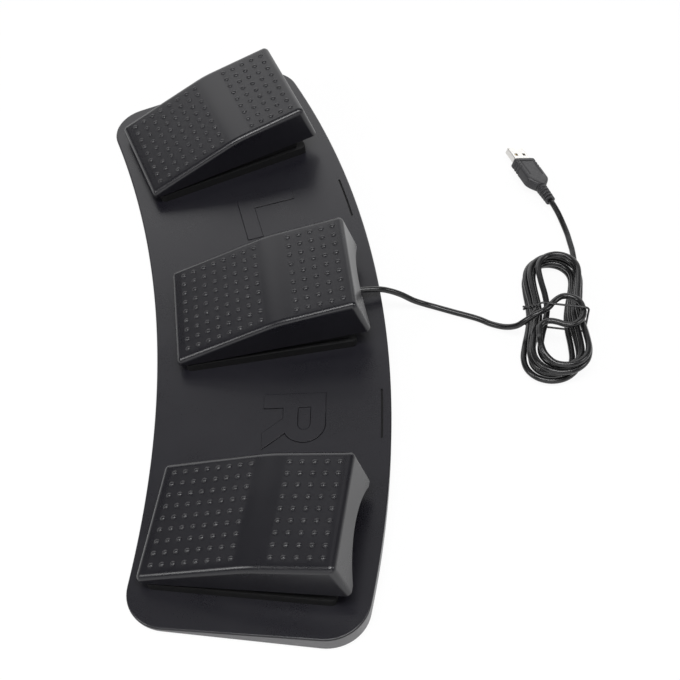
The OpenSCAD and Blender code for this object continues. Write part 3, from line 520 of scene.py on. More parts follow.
TREAD = TreadPlastic("tread_plastic", (0.0046, 0.0044, 0.0066), (0.0068, 0.0065, 0.0094), 0.28,
                     grain=0.0007, depth=0.00006)
PLATE = PlatePlastic("base_plastic", (0.0066, 0.0063, 0.0092), (0.0090, 0.0086, 0.0122), 0.30,
                     grain=0.0005)
# Darker than the other black plastics: painted shade for the pedal bodies under the skirts, which
# the bottom cover shares
SHADED_HOUSING = Finish("body_plastic", (0.0032, 0.0032, 0.0036), (0.0048, 0.0048, 0.0053), 0.60, 0.3)
RUBBER = Finish("soft_rubber", (0.0085, 0.0085, 0.0088), (0.0125, 0.0125, 0.0130), 0.72, 0.4,
                grain=0.0004, depth=0.00004)
JACKET = Finish("cord_jacket", (0.0042, 0.0042, 0.0047), (0.0066, 0.0066, 0.0073), 0.26,
                uneven=0.10, patch=0.012, grain=0.0005, depth=0.000015)
WRAP = Finish("tie_coat", (0.0060, 0.0060, 0.0064), (0.0100, 0.0100, 0.0105), 0.38, 0.6,
              patch=0.004, grain=0.0004)
OVERMOULD = Finish("plug_overmould", (0.0150, 0.0148, 0.0168), (0.0212, 0.0209, 0.0236), 0.44,
                   patch=0.010, grain=0.0003, depth=0.00003)
NICKEL = DrawnMetal("nickel_shell", (0.78, 0.765, 0.74), (0.72, 0.705, 0.68), 0.38,
                    patch=0.006, grain=0.0004, depth=0.000004)
STEEL = DrawnMetal("bright_steel", (0.60, 0.61, 0.63), (0.48, 0.49, 0.51), 0.28, uneven=0.14,
                   patch=0.008, grain=0.0005, depth=0.000006)
GOLD = DrawnMetal("gold_flash", (0.83, 0.62, 0.22), (0.72, 0.52, 0.18), 0.22, uneven=0.10,
                  patch=0.003, grain=0.0003, depth=0.000003)
BOARD = CircuitBoard("green_board", (0.012, 0.090, 0.040), (0.018, 0.115, 0.052), 0.35,
                     patch=0.008, depth=0.00004)
EPOXY = Finish("black_epoxy", (0.0140, 0.0140, 0.0150), (0.0210, 0.0210, 0.0222), 0.55,
               patch=0.004, grain=0.0003)
NYLON = Finish("white_nylon", (0.76, 0.74, 0.68), (0.68, 0.66, 0.59), 0.42,
               patch=0.005, grain=0.0004)


# Mesh work

def placed(name: str, data: bpy.types.ID) -> bpy.types.Object:
    """Put an object in the scene.

    Args:
        name: Name of the object.
        data: Its mesh, curve, lamp or camera.

    Returns:
        The object.
    """
    thing = bpy.data.objects.new(name, data)
    bpy.context.scene.collection.objects.link(thing)
    return thing


def raw_mesh(bm: BMesh, name: str, scale: float = 1.0) -> bpy.types.Mesh:
    """A mesh of a bmesh, with its faces turned outwards.

    Args:
        bm: The bmesh, which is freed.
        name: Name of the mesh.
        scale: How much it is scaled.

    Returns:
        The mesh.
    """
    bmesh.ops.recalc_face_normals(bm, faces=bm.faces)
    bm.transform(Matrix.Scale(scale, 4))
    mesh = bpy.data.meshes.new(name)
    bm.to_mesh(mesh)
    bm.free()
    return mesh


def to_metres(bm: BMesh, name: str, sharp: float = 35.0) -> bpy.types.Mesh:
    """Finish a bmesh that was built in millimetres.

    Args:
        bm: The bmesh, which is freed.
        name: Name of the mesh.
        sharp: Angle, in degrees, above which an edge stays sharp.

    Returns:
        The mesh, in metres and shaded smooth.
    """
    mesh = raw_mesh(bm, name, MM)
    mesh.shade_smooth()
    mesh.set_sharp_from_angle(angle=math.radians(sharp))
    return mesh


def evaluated(bench: bpy.types.Object) -> BMesh:
    """A bmesh of an object, as its settings and modifiers make it.

    Args:
        bench: The object, which is removed.

    Returns:
        The bmesh.
    """
    depsgraph = bpy.context.evaluated_depsgraph_get()
    mesh = bpy.data.meshes.new_from_object(bench.evaluated_get(depsgraph))
    bm = bmesh.new()
    bm.from_mesh(mesh)
    bpy.data.objects.remove(bench)
    bpy.data.meshes.remove(mesh)
    return bm


def carved(body: BMesh, cutter: BMesh) -> BMesh:
    """What is left of a solid when another is cut out of it.

    Args:
        body: The solid, which is freed.
        cutter: What is cut out, which is freed.

    Returns:
        The result.
    """
    meshes = [raw_mesh(cutter, "knife"), raw_mesh(body, "body")]
    knife, bench = (placed(mesh.name, mesh) for mesh in meshes)
    modifier = bench.modifiers.new("cut", "BOOLEAN")
    modifier.operation = "DIFFERENCE"
    modifier.solver = "EXACT"
    modifier.use_self = True
    modifier.object = knife
    result = evaluated(bench)
    bpy.data.objects.remove(knife)
    for mesh in meshes:
        bpy.data.meshes.remove(mesh)
    return result


def add_rings(bm: BMesh, rings: Sequence[Sequence[Point]], closed_ends: bool = True) -> None:
    """Skin a row of rings that have the same number of points.

    Args:
        bm: Where the faces go.
        rings: The rings, in order.
        closed_ends: Whether the first and last ring are filled.
    """
    rows = [[bm.verts.new(point) for point in ring] for ring in rings]
    count = len(rows[0])
    for one, two in zip(rows, rows[1:]):
        for i in range(count):
            j = (i + 1) % count
            bm.faces.new((one[i], one[j], two[j], two[i]))
    if closed_ends:
        bm.faces.new(rows[0])
        bm.faces.new(rows[-1])


def as_drawn(x: float, y: float, z: float) -> Point:
    """Leave a point of an outline and its height as they are."""
    return (x, y, z)


def add_prism(bm: BMesh, outline: Outline, low: float, high: float,
              lie: Callable[[float, float, float], Point] = as_drawn) -> None:
    """Add a prism.

    Args:
        bm: Where the faces go.
        outline: Its outline.
        low: Where it starts.
        high: Where it ends.
        lie: Turns a point of the outline and its height into a point of the piece.
    """
    add_rings(bm, [[lie(x, y, h) for x, y in outline] for h in (low, high)])


def across(u: float, w: float, v: float) -> Point:
    """Lay an outline of (length, height) points across a pedal."""
    return (v, u, w)


def lengthways(v: float, w: float, u: float) -> Point:
    """Lay an outline of (width, height) points along a pedal."""
    return (v, u, w)


def circle(x: float, y: float, r: float, count: int) -> Outline:
    """Points of a circle."""
    return [(x + r * math.cos(math.tau * i / count), y + r * math.sin(math.tau * i / count))
            for i in range(count)]


def arc(centre: Point, r: float, start: float, end: float, steps: int) -> Outline:
    """Points of an arc between two angles in radians, both ends included."""
    angles = [start + (end - start) * i / steps for i in range(steps + 1)]
    return [(centre[0] + r * math.cos(a), centre[1] + r * math.sin(a)) for a in angles]


def quarter_arc(centre: Point, r: float, start: float, steps: int) -> Outline:
    """Points of a quarter of a circle from an angle in degrees, both ends included."""
    return arc(centre, r, math.radians(start), math.radians(start + 90), steps)


def span(middle: float, half: float) -> tuple[float, float]:
    """The two places that lie a distance before and past a middle."""
    return middle - half, middle + half


def filled(loops: Sequence[Outline], tall: float, soft: float = 0.0) -> BMesh:
    """A flat form with holes, given a thickness.

    Args:
        loops: The outline and the outlines of its holes.
        tall: Its thickness, with its underside at 0.
        soft: Rounding of its edges.

    Returns:
        The form.
    """
    curve = bpy.data.curves.new("outline", "CURVE")
    curve.dimensions = "2D"
    curve.fill_mode = "BOTH"
    curve.extrude = tall / 2 - soft
    curve.bevel_depth = soft
    curve.bevel_resolution = SOFT_STEPS
    curve.offset = -soft
    for loop in loops:
        spline = curve.splines.new("POLY")
        spline.points.add(len(loop) - 1)
        for point, (x, y) in zip(spline.points, loop):
            point.co = (x, y, 0.0, 1.0)
        spline.use_cyclic_u = True
    bm = evaluated(placed("outline", curve))
    bpy.data.curves.remove(curve)
    bmesh.ops.remove_doubles(bm, verts=bm.verts, dist=WELD)
    bm.transform(Matrix.Translation((0, 0, tall / 2)))
    return bm


def merge(bm: BMesh, other: BMesh, matrix: Optional[Matrix] = None) -> None:
    """Put a second bmesh into the first one.

    Args:
        bm: Where the faces go.
        other: The second bmesh, which is freed.
        matrix: Where it stands in the first one.
    """
    if matrix is not None:
        other.transform(matrix)
    mesh = raw_mesh(other, "merged")
    bm.from_mesh(mesh)
    bpy.data.meshes.remove(mesh)


def add_tube(bm: BMesh, path: Sequence[Vector], r: float, sides: int, closed: bool = False) -> None:
    """Add a round tube along a path.

    Args:
        bm: Where the faces go.
        path: Points of its middle line.
        r: Its radius.
        sides: How many sides it has.
        closed: Whether its end joins its start.
    """
    last = len(path) - 1
    headings = []
    for i in range(len(path)):
        before = path[i - 1] if i or closed else path[0]
        after = path[(i + 1) % len(path)] if i < last or closed else path[last]
        headings.append((after - before).normalized())
    up = headings[0].orthogonal().normalized()
    rings = []
    for point, heading in zip(path, headings):
        up = (up - heading * up.dot(heading)).normalized()
        beside = heading.cross(up)
        rings.append([point + (up * math.cos(a) + beside * math.sin(a)) * r
                      for a in (math.tau * s / sides for s in range(sides))])
    if closed:
        rings.append(rings[0])
    add_rings(bm, rings, not closed)
    if closed:
        bmesh.ops.remove_doubles(bm, verts=bm.verts, dist=TINY)


def smooth_line(points: Sequence[Vector], steps: int) -> list[Vector]:
    """A smooth line through points.

    Args:
        points: The points that it passes through.
        steps: How many pieces each stretch is cut into.

    Returns:
        The points of the line.
    """
    ends = [points[0] * 2 - points[1], *points, points[-1] * 2 - points[-2]]
    line = []
    for before, a, b, after in zip(ends, ends[1:], ends[2:], ends[3:]):
        bend = 2 * before - 5 * a + 4 * b - after
        twist = 3 * a - before - 3 * b + after
        for t in (i / steps for i in range(steps)):
            line.append(0.5 * (2 * a + (b - before) * t + bend * t ** 2 + twist * t ** 3))
    return [*line, points[-1].copy()]


def facing(x: Vector, y: Vector, z: Vector) -> Matrix:
    """A rotation that lays the three axes along three directions."""
    return Matrix((x, y, z)).transposed().to_4x4()


def looking(at: Point, back: Vector, up: Point) -> Matrix:
    """The frame of a lamp or a camera.

    Args:
        at: Where it stands.
        back: The direction behind it.
        up: The direction that is up for it.

    Returns:
        The frame.
    """
    beside = Vector(up).cross(back).normalized()
    return Matrix.Translation(at) @ facing(beside, back.cross(beside), back)


def ramp(t: float) -> float:
    """Smooth step from 0 to 1."""
    t = min(max(t, 0.0), 1.0)
    return t * t * (3 - 2 * t)


class Workshop:
    """Adds pieces to the frame and gives nodes their finishes."""

    def __init__(self, nodes: dict[str, bpy.types.Object]) -> None:
        """Start with the frame's nodes."""
        self.nodes = nodes
        self.materials: dict[str, bpy.types.Material] = {}

    def material(self, finish: Finish) -> bpy.types.Material:
        """The material of a finish, made once.

        Args:
            finish: The finish.

        Returns:
            The material.
        """
        if finish.name not in self.materials:
            self.materials[finish.name] = finish.make()
        return self.materials[finish.name]

    def add(self, name: str, data: bpy.types.ID, finish: Finish, slot: Slot,
            replaces: Iterable[str], body: str = BASE_BODY,
            matrix: Optional[Matrix] = None) -> bpy.types.Object:
        """Add one piece.

        Args:
            name: Name of the piece.
            data: Its mesh or curve.
            finish: Its finish.
            slot: The record's slot for the piece; not used.
            replaces: Nodes that it stands for.
            body: The body that it moves with.
            matrix: Where its mesh stands in the part's frame.

        Returns:
            The piece.
        """
        if matrix is not None:
            data.transform(matrix)
        piece = placed(name, data)
        data.materials.append(self.material(finish))
        if piece.type == "MESH":
            piece.modifiers.new("even_normals", "WEIGHTED_NORMAL").keep_sharp = True
        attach(piece, body)
        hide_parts(*replaces)
        log.info("%s stands for %s on %s", name, ", ".join(replaces), body)
        return piece

    def dress(self, finish: Finish, *names: str) -> None:
        """Give nodes that stay as they are a finish.

        Args:
            finish: The finish.
            names: Names of the nodes.
        """
        for name in names:
            for place in self.nodes[name].material_slots:
                place.material = self.material(finish)
            log.info("%s is dressed in %s", name, finish.name)


# Where the pedals stand

@dataclass
class Fan:
    """The fan of pedals on the tilted deck, found from the joints of the frame.

    Args:
        angle: Angle between neighbouring pedals, in degrees.
        radius: Radius from the fan's centre to the low edge of each pedal.
        pin_setback: Distance of a hinge pin from its treadle's low edge.
        pin_h: Height of a hinge pin over the deck.
        pedals: The frame of each pedal, in metres, once it is found.
    """

    angle: float = 15.3
    radius: float = 518.0
    pin_setback: float = 14.0
    pin_h: float = 7.0
    pedals: dict[Side, Matrix] = field(default_factory=dict)

    def find(self, joints: Sequence[dict[str, Any]]) -> "Fan":
        """Work out the frame of each pedal.

        Args:
            joints: The joints of the frame.

        Returns:
            The fan itself.
        """
        named = {joint["name"]: joint for joint in joints}
        axes = {side: Vector(named[side.joint]["axis"]).normalized() for side in Side}
        normal = axes[Side.LEFT].cross(axes[Side.RIGHT]).normalized()
        normal *= math.copysign(1.0, normal.z)
        for side in Side:
            beside = -axes[side]
            along = normal.cross(beside)
            pin = Vector(named[side.joint]["pos_m"])
            low_edge = pin - along * self.pin_setback * MM - normal * self.pin_h * MM
            self.pedals[side] = Matrix.Translation(low_edge) @ facing(beside, along, normal)
        return self

    def in_mm(self, side: Side) -> Matrix:
        """The frame of a pedal, in millimetres.

        Args:
            side: Which pedal it is.

        Returns:
            The frame.
        """
        pedal = self.pedals[side].copy()
        pedal.translation /= MM
        return pedal

    def normal(self) -> Vector:
        """Direction off the deck."""
        return self.pedals[Side.MIDDLE].col[2].to_3d()

    def deck_h(self, y: float) -> float:
        """Height of the deck, in millimetres.

        Args:
            y: The place along Y, in millimetres.

        Returns:
            The height.
        """
        edge = self.pedals[Side.MIDDLE].translation / MM
        normal = self.normal()
        return edge.z - (y - edge.y) * normal.y / normal.z

    def on_ray(self, turn: float, r: float, h: float) -> Matrix:
        """A frame on the deck, in millimetres, on a ray from the fan's centre.

        Args:
            turn: Angle of the ray, in degrees to the right.
            r: Distance from the centre.
            h: Height over the deck.

        Returns:
            The frame, with Y along the ray.
        """
        return (self.in_mm(Side.MIDDLE) @ Matrix.Translation((0, -self.radius, 0))
                @ Matrix.Rotation(-math.radians(turn), 4, "Z") @ Matrix.Translation((0, r, h)))


# The cord

@dataclass
class Hank:
    """Loops of cord in four layers that spiral in and out and are drawn in at the waist.

    Args:
        at: Where its middle lies on the floor.
        turn: How far it is turned, in degrees.
        run: Half of the straight run between its caps.
        outer_r: Radius of its widest loops.
        step: How far a turn lies inside the one before.
        rise: Distance between layers.
        layers: Number of layers.
        layer_turns: Turns in one layer.
        waist: How far the tie draws it in.
        slip: How far a layer slips to the left of the one above, at the far and the near end.
        slip_rings: Points over which a layer slips.
        loop_rings: Points in one turn.
        run_rings: Points in one run or cap.
        first: The point that it starts at.
        drop: Points over which it comes down from the lead.
        over: Points past its last turn.
        start_z: Height of the lead where it starts.
    """

    at: tuple[float, float] = (22.5, 181.0)
    turn: float = -8.0
    run: float = 29.4
    outer_r: float = 17.3
    step: float = 4.4
    rise: float = 4.1
    layers: int = 4
    layer_turns: float = 1.5
    waist: float = 3.0
    slip: tuple[float, float] = (1.0, 2.6)
    slip_rings: int = 4
    loop_rings: int = 24
    run_rings: int = 6
    first: int = 15
    drop: int = 2
    over: int = 2
    start_z: float = 19.4

    @property
    def layer_rings(self) -> float:
        """Points in one layer."""
        return self.loop_rings * self.layer_turns

    def drawn_in(self, x: float) -> float:
        """How far a run is drawn in, a distance from the waist."""
        return self.waist * math.cos(math.pi / 2 * x / self.run) ** 2

    def r(self, k: float) -> float:
        """Radius of the loops at a point: in on one layer and out on the next.

        Args:
            k: Number of the point.

        Returns:
            The radius.
        """
        layer = min(int(k / self.layer_rings), self.layers - 1)
        part = k / self.layer_rings - layer
        return self.outer_r - self.step * self.layer_turns * (part if layer % 2 == 0 else 1 - part)

    def z(self, k: float) -> float:
        """Height of a point: down from the lead, then down a layer at each reversal.

        Args:
            k: Number of the point.

        Returns:
            The height.
        """
        falls = ramp((k - self.first) / self.drop)
        falls += sum(ramp((k - m * self.layer_rings) / self.run_rings + 0.5)
                     for m in range(1, self.layers))
        return self.start_z - self.rise * falls

    def plan(self, j: int, r: float) -> tuple[float, float]:
        """Plan of a point of a loop: half a run, a cap, half a run, and the same on the other side.

        Args:
            j: Number of the point in its turn.
            r: Radius of the loop.

        Returns:
            The point, along the hank and across it.
        """
        half, cap, other = self.run_rings / 2, math.pi / self.run_rings, self.loop_rings // 2
        if j >= other:
            x, y = self.plan(j - other, r)
            return -x, -y
        if j <= half:
            x = -self.run * j / half
            return x, r - self.drawn_in(x)
        if j <= half + self.run_rings:
            a = (j - half) * cap
            return -self.run - r * math.sin(a), r * math.cos(a)
        x = self.run * ((j - half - self.run_rings) / half - 1)
        return x, self.drawn_in(x) - r

    def slipped(self, k: float, x: float) -> float:
        """How far a point has slipped to the left: a layer more after each reversal.

        Args:
            k: Number of the point.
            x: Its place along the hank.

        Returns:
            The distance.
        """
        far, near = self.slip
        reach = self.run + self.outer_r
        one = far + (near - far) * (x + reach) / (2 * reach)
        return one * sum(ramp((k - m * self.layer_rings + 1) / self.slip_rings)
                         for m in range(1, self.layers))

    def matrix(self) -> Matrix:
        """The hank's own frame."""
        return (Matrix.Translation((*self.at, 0))
                @ Matrix.Rotation(math.radians(self.turn), 4, "Z"))

    def loops(self) -> list[Vector]:
        """Points of all its loops.

        Returns:
            The points, in the part's frame.
        """
        last = round(self.layer_rings * self.layers) + self.over
        frame_of = self.matrix()
        points = []
        for k in range(self.first, last + 1):
            x, y = self.plan(k % self.loop_rings, self.r(k))
            points.append(frame_of @ Vector((x, y - self.slipped(k, x), self.z(k))))
        return points


@dataclass
class Cord:
    """The cord: out of the middle pedal, a loop over the hank, the hank and the way to the plug.

    Args:
        hank: Its hank.
        diameter: Its diameter.
        gland_end: Where it leaves the gland, in the middle pedal's frame.
        lead: Points of its way to the hank.
        tail: Points of its way from the hank to the plug.
        line_steps: Pieces that each stretch between two points is cut into.
        round_steps: How finely its roundness is cut.
    """

    hank: Hank
    diameter: float = 3.6
    gland_end: tuple[float, float, float] = (0.0, 108.0, 7.4)
    lead: tuple[tuple[float, float, float], ...] = (
        (0, 76.5, 20.5), (0, 83, 18), (0, 90, 13.5), (0.5, 97, 8), (1, 104, 4), (3, 111, 2.2),
        (8, 121, 1.9), (14.5, 133.5, 1.9), (20, 141, 2.2), (25.5, 148, 5), (29.5, 153.5, 10),
        (30.5, 158, 15), (30, 163, 18.6), (28.5, 168, 19.8), (26, 172.5, 19.8), (22, 176.5, 19.8),
        (19, 181.5, 19.8), (19.5, 186.5, 19.8), (23, 190.8, 19.8), (28.5, 192, 19.8),
        (34, 191.2, 19.8), (38, 188.3, 19.8), (40.5, 184, 19.8), (40, 179.5, 19.8),
        (37.5, 175, 19.8), (36, 171, 19.6), (36.5, 167.5, 19.5), (39, 164.5, 19.4),
    )
    tail: tuple[tuple[float, float, float], ...] = (
        (-12, 199, 2.4), (-22, 200.5, 1.9), (-33, 201.5, 1.9), (-45, 201.5, 1.9), (-55, 200.5, 2.6),
        (-62, 199, 4.4),
    )
    line_steps: int = 5
    round_steps: int = 4

    def route(self, fan: Fan, plug: Matrix) -> list[Vector]:
        """Points of the whole cord, in millimetres.

        Args:
            fan: The fan of pedals.
            plug: The plug's frame, in millimetres.

        Returns:
            The points, from the gland to the plug.
        """
        middle = fan.in_mm(Side.MIDDLE)
        gap = self.diameter
        out = middle @ Vector(self.gland_end)
        loops = self.hank.loops()
        start = self.hank.matrix().col[0].to_3d()
        end = loops[-1] - loops[-2]
        end = Vector((end.x, end.y, 0)).normalized()
        return [
            out, out + middle.col[1].to_3d() * gap, *(Vector(p) for p in self.lead),
            loops[0] - start * gap * 2, loops[0] - start * gap, *loops, loops[-1] + end * gap,
            loops[-1] + end * gap * 2, *(Vector(p) for p in self.tail),
            plug @ Vector((-gap, 0, 0)), plug @ Vector((0, 0, 0)),
        ]

    def build(self, shop: Workshop, fan: Fan, plug: Matrix,
              pieces: Sequence[bpy.types.Object]) -> None:
        """Args:
            shop: The workshop.
            fan: The fan of pedals.
            plug: The plug's frame, in millimetres.
            pieces: The pieces that are on the cord; not used.
        """
        route = self.route(fan, plug)
        low, high = ([pick(point[i] for point in route) for i in range(3)] for pick in (min, max))
        line = [Vector(min(max(place, a), b) for place, a, b in zip(point, low, high)) * MM
                for point in smooth_line(route, self.line_steps)]
        curve = bpy.data.curves.new("cord", "CURVE")
        curve.dimensions = "3D"
        curve.bevel_depth = self.diameter / 2 * MM
        curve.bevel_resolution = self.round_steps
        curve.use_fill_caps = True
        spline = curve.splines.new("POLY")
        spline.points.add(len(line) - 1)
        for point, place in zip(spline.points, line):
            point.co = (*place, 1.0)
        spline.use_smooth = True
        piece = shop.add("cord", curve, JACKET, Slot.CORD, ("cord_lead", "cord_hank", "cord_tail"))


@dataclass
class TwistTie:
    """Coated wire round the hank's waist, with its two ends twisted together.

    Args:
        hank: The hank that it holds.
        wire_r: Radius of the coated wire.
        low: Height of the wire's middle under the hank.
        top: Height of the wire's middle over the lead's loop.
        left: How far out it passes on the left, at the bottom and at the top.
        right: How far out it passes on the right.
        corner: Radius of its bends.
        slant: How far it leans along the hank for each step across it.
        run_part: Half a run, divided by this, is how far its ring is off the hank's middle.
        root: How far the twist starts outside the ring and under its bend.
        twist_l: Length of the twisted stretch.
        twists: Number of turns in the twisted stretch.
        sag: How far the twisted stretch sags.
        end_l: Length of the two free ends.
        spread: How far the free ends part.
        droop: How far the free ends droop.
        sides: How many sides the wire has.
        steps: Pieces that a bend, the twisted stretch and a free end are cut into.
    """

    hank: Hank
    wire_r: float = 0.62
    low: float = 0.72
    top: float = 22.3
    left: tuple[float, float] = (20.55, 13.2)
    right: float = 14.95
    corner: float = 2.2
    slant: float = 0.14
    run_part: float = 6.0
    root: tuple[float, float] = (0.2, 1.0)
    twist_l: float = 5.0
    twists: float = 1.5
    sag: float = 1.2
    end_l: float = 4.0
    spread: float = 1.6
    droop: float = 0.8
    sides: int = 10
    steps: tuple[int, int, int] = (8, 24, 6)

    def middle(self) -> float:
        """Place of its ring along the hank."""
        return self.hank.run / self.run_part

    def ring(self) -> list[Vector]:
        """The closed way round the waist.

        Returns:
            The points, in the hank's frame.
        """
        left_low, left_top = self.left
        corners = (((self.right, self.low), (-1, 1), -90), ((self.right, self.top), (-1, -1), 0),
                   ((-left_top, self.top), (1, -1), 90), ((-left_low, self.low), (1, 1), 180))
        points = []
        for (y, z), (inward_y, inward_z), start in corners:
            centre = (y + inward_y * self.corner, z + inward_z * self.corner)
            points += quarter_arc(centre, self.corner, start, self.steps[0])
        return [Vector((self.middle() + self.slant * y, y, z)) for y, z in points]

    def ends(self) -> list[list[Vector]]:
        """The two ends, twisted and then spread.

        Returns:
            The points of each end, in the hank's frame.
        """
        left, (outside, under) = self.left[1], self.root
        root = Vector((self.middle() - self.slant * left, -left - outside,
                       self.top - self.corner - under))
        _, twist_steps, end_steps = self.steps
        strands = []
        for side in (-1, 1):
            points = []
            for i in range(twist_steps + 1):
                t = i / twist_steps
                a = math.tau * self.twists * t + (math.pi if side < 0 else 0.0)
                points.append(root + Vector((math.cos(a) * self.wire_r, -self.twist_l * t,
                                             math.sin(a) * self.wire_r - self.sag * t * t)))
            fork = points[-1]
            out = (fork - points[-2]).normalized()
            for i in range(1, end_steps + 1):
                t = i / end_steps
                points.append(fork + Vector((side * self.spread * t * t, 0, -self.droop * t * t))
                              + (out * (1 - t) + Vector((0, -1, 0)) * t) * self.end_l * t)
            strands.append(points)
        return strands

    def build(self, shop: Workshop) -> bpy.types.Object:
        """Build the tie.

        Args:
            shop: The workshop.

        Returns:
            The tie.
        """
        bm = bmesh.new()
        add_tube(bm, self.ring(), self.wire_r, self.sides, True)
        for strand in self.ends():
            add_tube(bm, strand, self.wire_r, self.sides)
        bm.transform(self.hank.matrix())
        return shop.add("twist_tie", to_metres(bm, "twist_tie"), WRAP, Slot.RUBBER, ("cord_tie",))


@dataclass
class Plug:
    """The plug: an overmould with a ribbed strain relief, and a folded shell with latch holes.

    Args:
        at: Where the cord enters it.
        turn: Which way it points, in degrees.
        roll: How far it is rolled onto its edge, in degrees.
        relief_l: Length of the strain relief.
        relief_r: Radii of the strain relief at its two ends.
        ribs: Number of ribs.
        groove: Depth of the grooves between ribs.
        rib_cut: Shares of a rib's pitch where its groove starts and over which it deepens.
        shoulder_l: Length over which the grip swells.
        grip_l: Length of the grip.
        grip_w: Width of the grip.
        grip_h: Height of the grip.
        edge: Rounding of the grip's end.
        square: Squareness of the strain relief's section, and how much squarer the grip is.
        panel: First and last place, and half width, of the line round the grip's plain panel.
        line: Width and depth of that line.
        line_wall: Shares of the line's width where its wall starts and over which it rises.
        line_fade: Length over which the line fades in at its open end.
        notches: First place, pitch, number and depth of the notches in the grip's sides.
        notch_wall: How steep and how narrow a notch is.
        notch_side: Shares of the grip's width beyond which notches lie, where they start and over
            which they deepen.
        shell_l: Length of the shell outside the grip.
        shell_in: Length of the shell inside the grip.
        shell_w: Width of the shell.
        shell_h: Height of the shell.
        shell_wall: Thickness of the shell.
        shell_r: Radius of the shell's corners, outside and inside.
        lead_in: Inset, corner radius and length of the shell's lead-in.
        corner_steps: Pieces that a corner of the shell is cut into.
        hole: Size of a latch hole.
        sides: How many sides the overmould has.
        stations: Pieces that the overmould's length is cut into.
        sharp: Angles above which edges of the overmould and the shell stay sharp, in degrees.
    """

    at: tuple[float, float, float] = (-72.0, 196.0, 5.9844)
    turn: float = 196.0
    roll: float = 20.0
    relief_l: float = 13.0
    relief_r: tuple[float, float] = (3.2, 3.7)
    ribs: int = 5
    groove: float = 0.7
    rib_cut: tuple[float, float] = (0.50, 0.08)
    shoulder_l: float = 7.0
    grip_l: float = 25.5
    grip_w: float = 16.0
    grip_h: float = 7.6
    edge: float = 0.8
    square: tuple[float, float] = (2.0, 5.0)
    panel: tuple[float, float, float] = (20.5, 35.4, 5.0)
    line: tuple[float, float] = (0.9, 0.45)
    line_wall: tuple[float, float] = (0.3, 0.35)
    line_fade: float = 2.0
    notches: tuple[float, float, int, float] = (29.85, 2.6, 3, 0.55)
    notch_wall: tuple[float, float] = (1.6, 0.5)
    notch_side: tuple[float, float, float] = (0.36, 0.38, 0.06)
    shell_l: float = 12.0
    shell_in: float = 6.0
    shell_w: float = 12.0
    shell_h: float = 4.5
    shell_wall: float = 0.35
    shell_r: tuple[float, float] = (0.7, 0.35)
    lead_in: tuple[float, float, float] = (0.12, 0.6, 0.3)
    corner_steps: int = 6
    hole: float = 2.2
    sides: int = 128
    stations: int = 150
    sharp: tuple[float, float] = (50.0, 30.0)

    def matrix(self) -> Matrix:
        """The plug's frame, in millimetres, with X towards its tip."""
        return (Matrix.Translation(self.at) @ Matrix.Rotation(math.radians(self.turn), 4, "Z")
                @ Matrix.Rotation(math.radians(self.roll), 4, "X"))

    def section(self, x: float) -> tuple[float, float, float]:
        """Section of the overmould.

        Args:
            x: The place along it.

        Returns:
            Half width, half height and squareness.
        """
        end = self.relief_l + self.grip_l
        plain, more = self.square
        if x < self.relief_l:
            pitch = self.relief_l / self.ribs
            part = (x % pitch) / pitch
            r = self.relief_r[0] + (self.relief_r[1] - self.relief_r[0]) * x / self.relief_l
            start, over = self.rib_cut
            r -= self.groove * ramp((part - start) / over) * ramp((1.0 - part) / over)
            return r, r, plain
        grow = ramp((x - self.relief_l) / self.shoulder_l * 0.5 + 0.5) * 2 - 1
        ease = min((end - x) / self.edge, 1.0)
        soft = self.edge * (1 - math.sqrt(max(1 - (1 - ease) ** 2, 0.0)))
        wide = self.relief_r[1] + (self.grip_w / 2 - self.relief_r[1]) * grow - soft
        high = self.relief_r[1] + (self.grip_h / 2 - self.relief_r[1]) * grow - soft
        return wide, high, plain + more * grow

    def sunk(self, x: float, y: float, z: float) -> float:
        """How far the surface is sunk, for the panel's line and the side notches.

        Args:
            x: The place along the plug.
            y: The place across it.
            z: The height over its middle.

        Returns:
            The depth.
        """
        first, last, half = self.panel
        wide, deep = self.line
        depth = 0.0
        if z > 0 and first - wide < x < last + wide and abs(y) < half + wide:
            to_line = abs(abs(y) - half)
            if x >= last:
                to_line = math.hypot(x - last, max(abs(y) - half, 0.0))
            if abs(y) < half:
                to_line = min(to_line, abs(x - last))
            wall, rise = self.line_wall
            fade = ramp((x - first) / self.line_fade)
            depth = deep * fade * (1 - ramp((to_line - wide * wall) / (wide * rise)))
        start, pitch, count, cut = self.notches
        steps = (x - start) / pitch
        beyond, out, over = self.notch_side
        if abs(y) > self.grip_w * beyond and -0.5 < steps < count - 0.5:
            steep, narrow = self.notch_wall
            ridge = 0.5 + 0.5 * math.cos(math.tau * steps)
            side = ramp((abs(y) / self.grip_w - out) / over)
            depth = max(depth, cut * ramp(ridge * steep - narrow) * side)
        return depth

    def overmould(self) -> bpy.types.Mesh:
        """The grip and its strain relief as one skin.

        Returns:
            The mesh.
        """
        end = self.relief_l + self.grip_l
        rings = []
        for i in range(self.stations + 1):
            x = end * i / self.stations
            wide, high, square = self.section(x)
            ring = []
            for s in range(self.sides):
                a = math.tau * s / self.sides
                c, d = math.cos(a), math.sin(a)
                r = (abs(c / wide) ** square + abs(d / high) ** square) ** (-1 / square)
                y, z = r * c, r * d
                if x > self.relief_l:
                    down = self.sunk(x, y, z)
                    if abs(y) / wide > abs(z) / high:
                        y -= math.copysign(down, y)
                    else:
                        z -= math.copysign(down, z)
                ring.append((x, y, z))
            rings.append(ring)
        bm = bmesh.new()
        add_rings(bm, rings)
        return to_metres(bm, "plug_overmould", self.sharp[0])

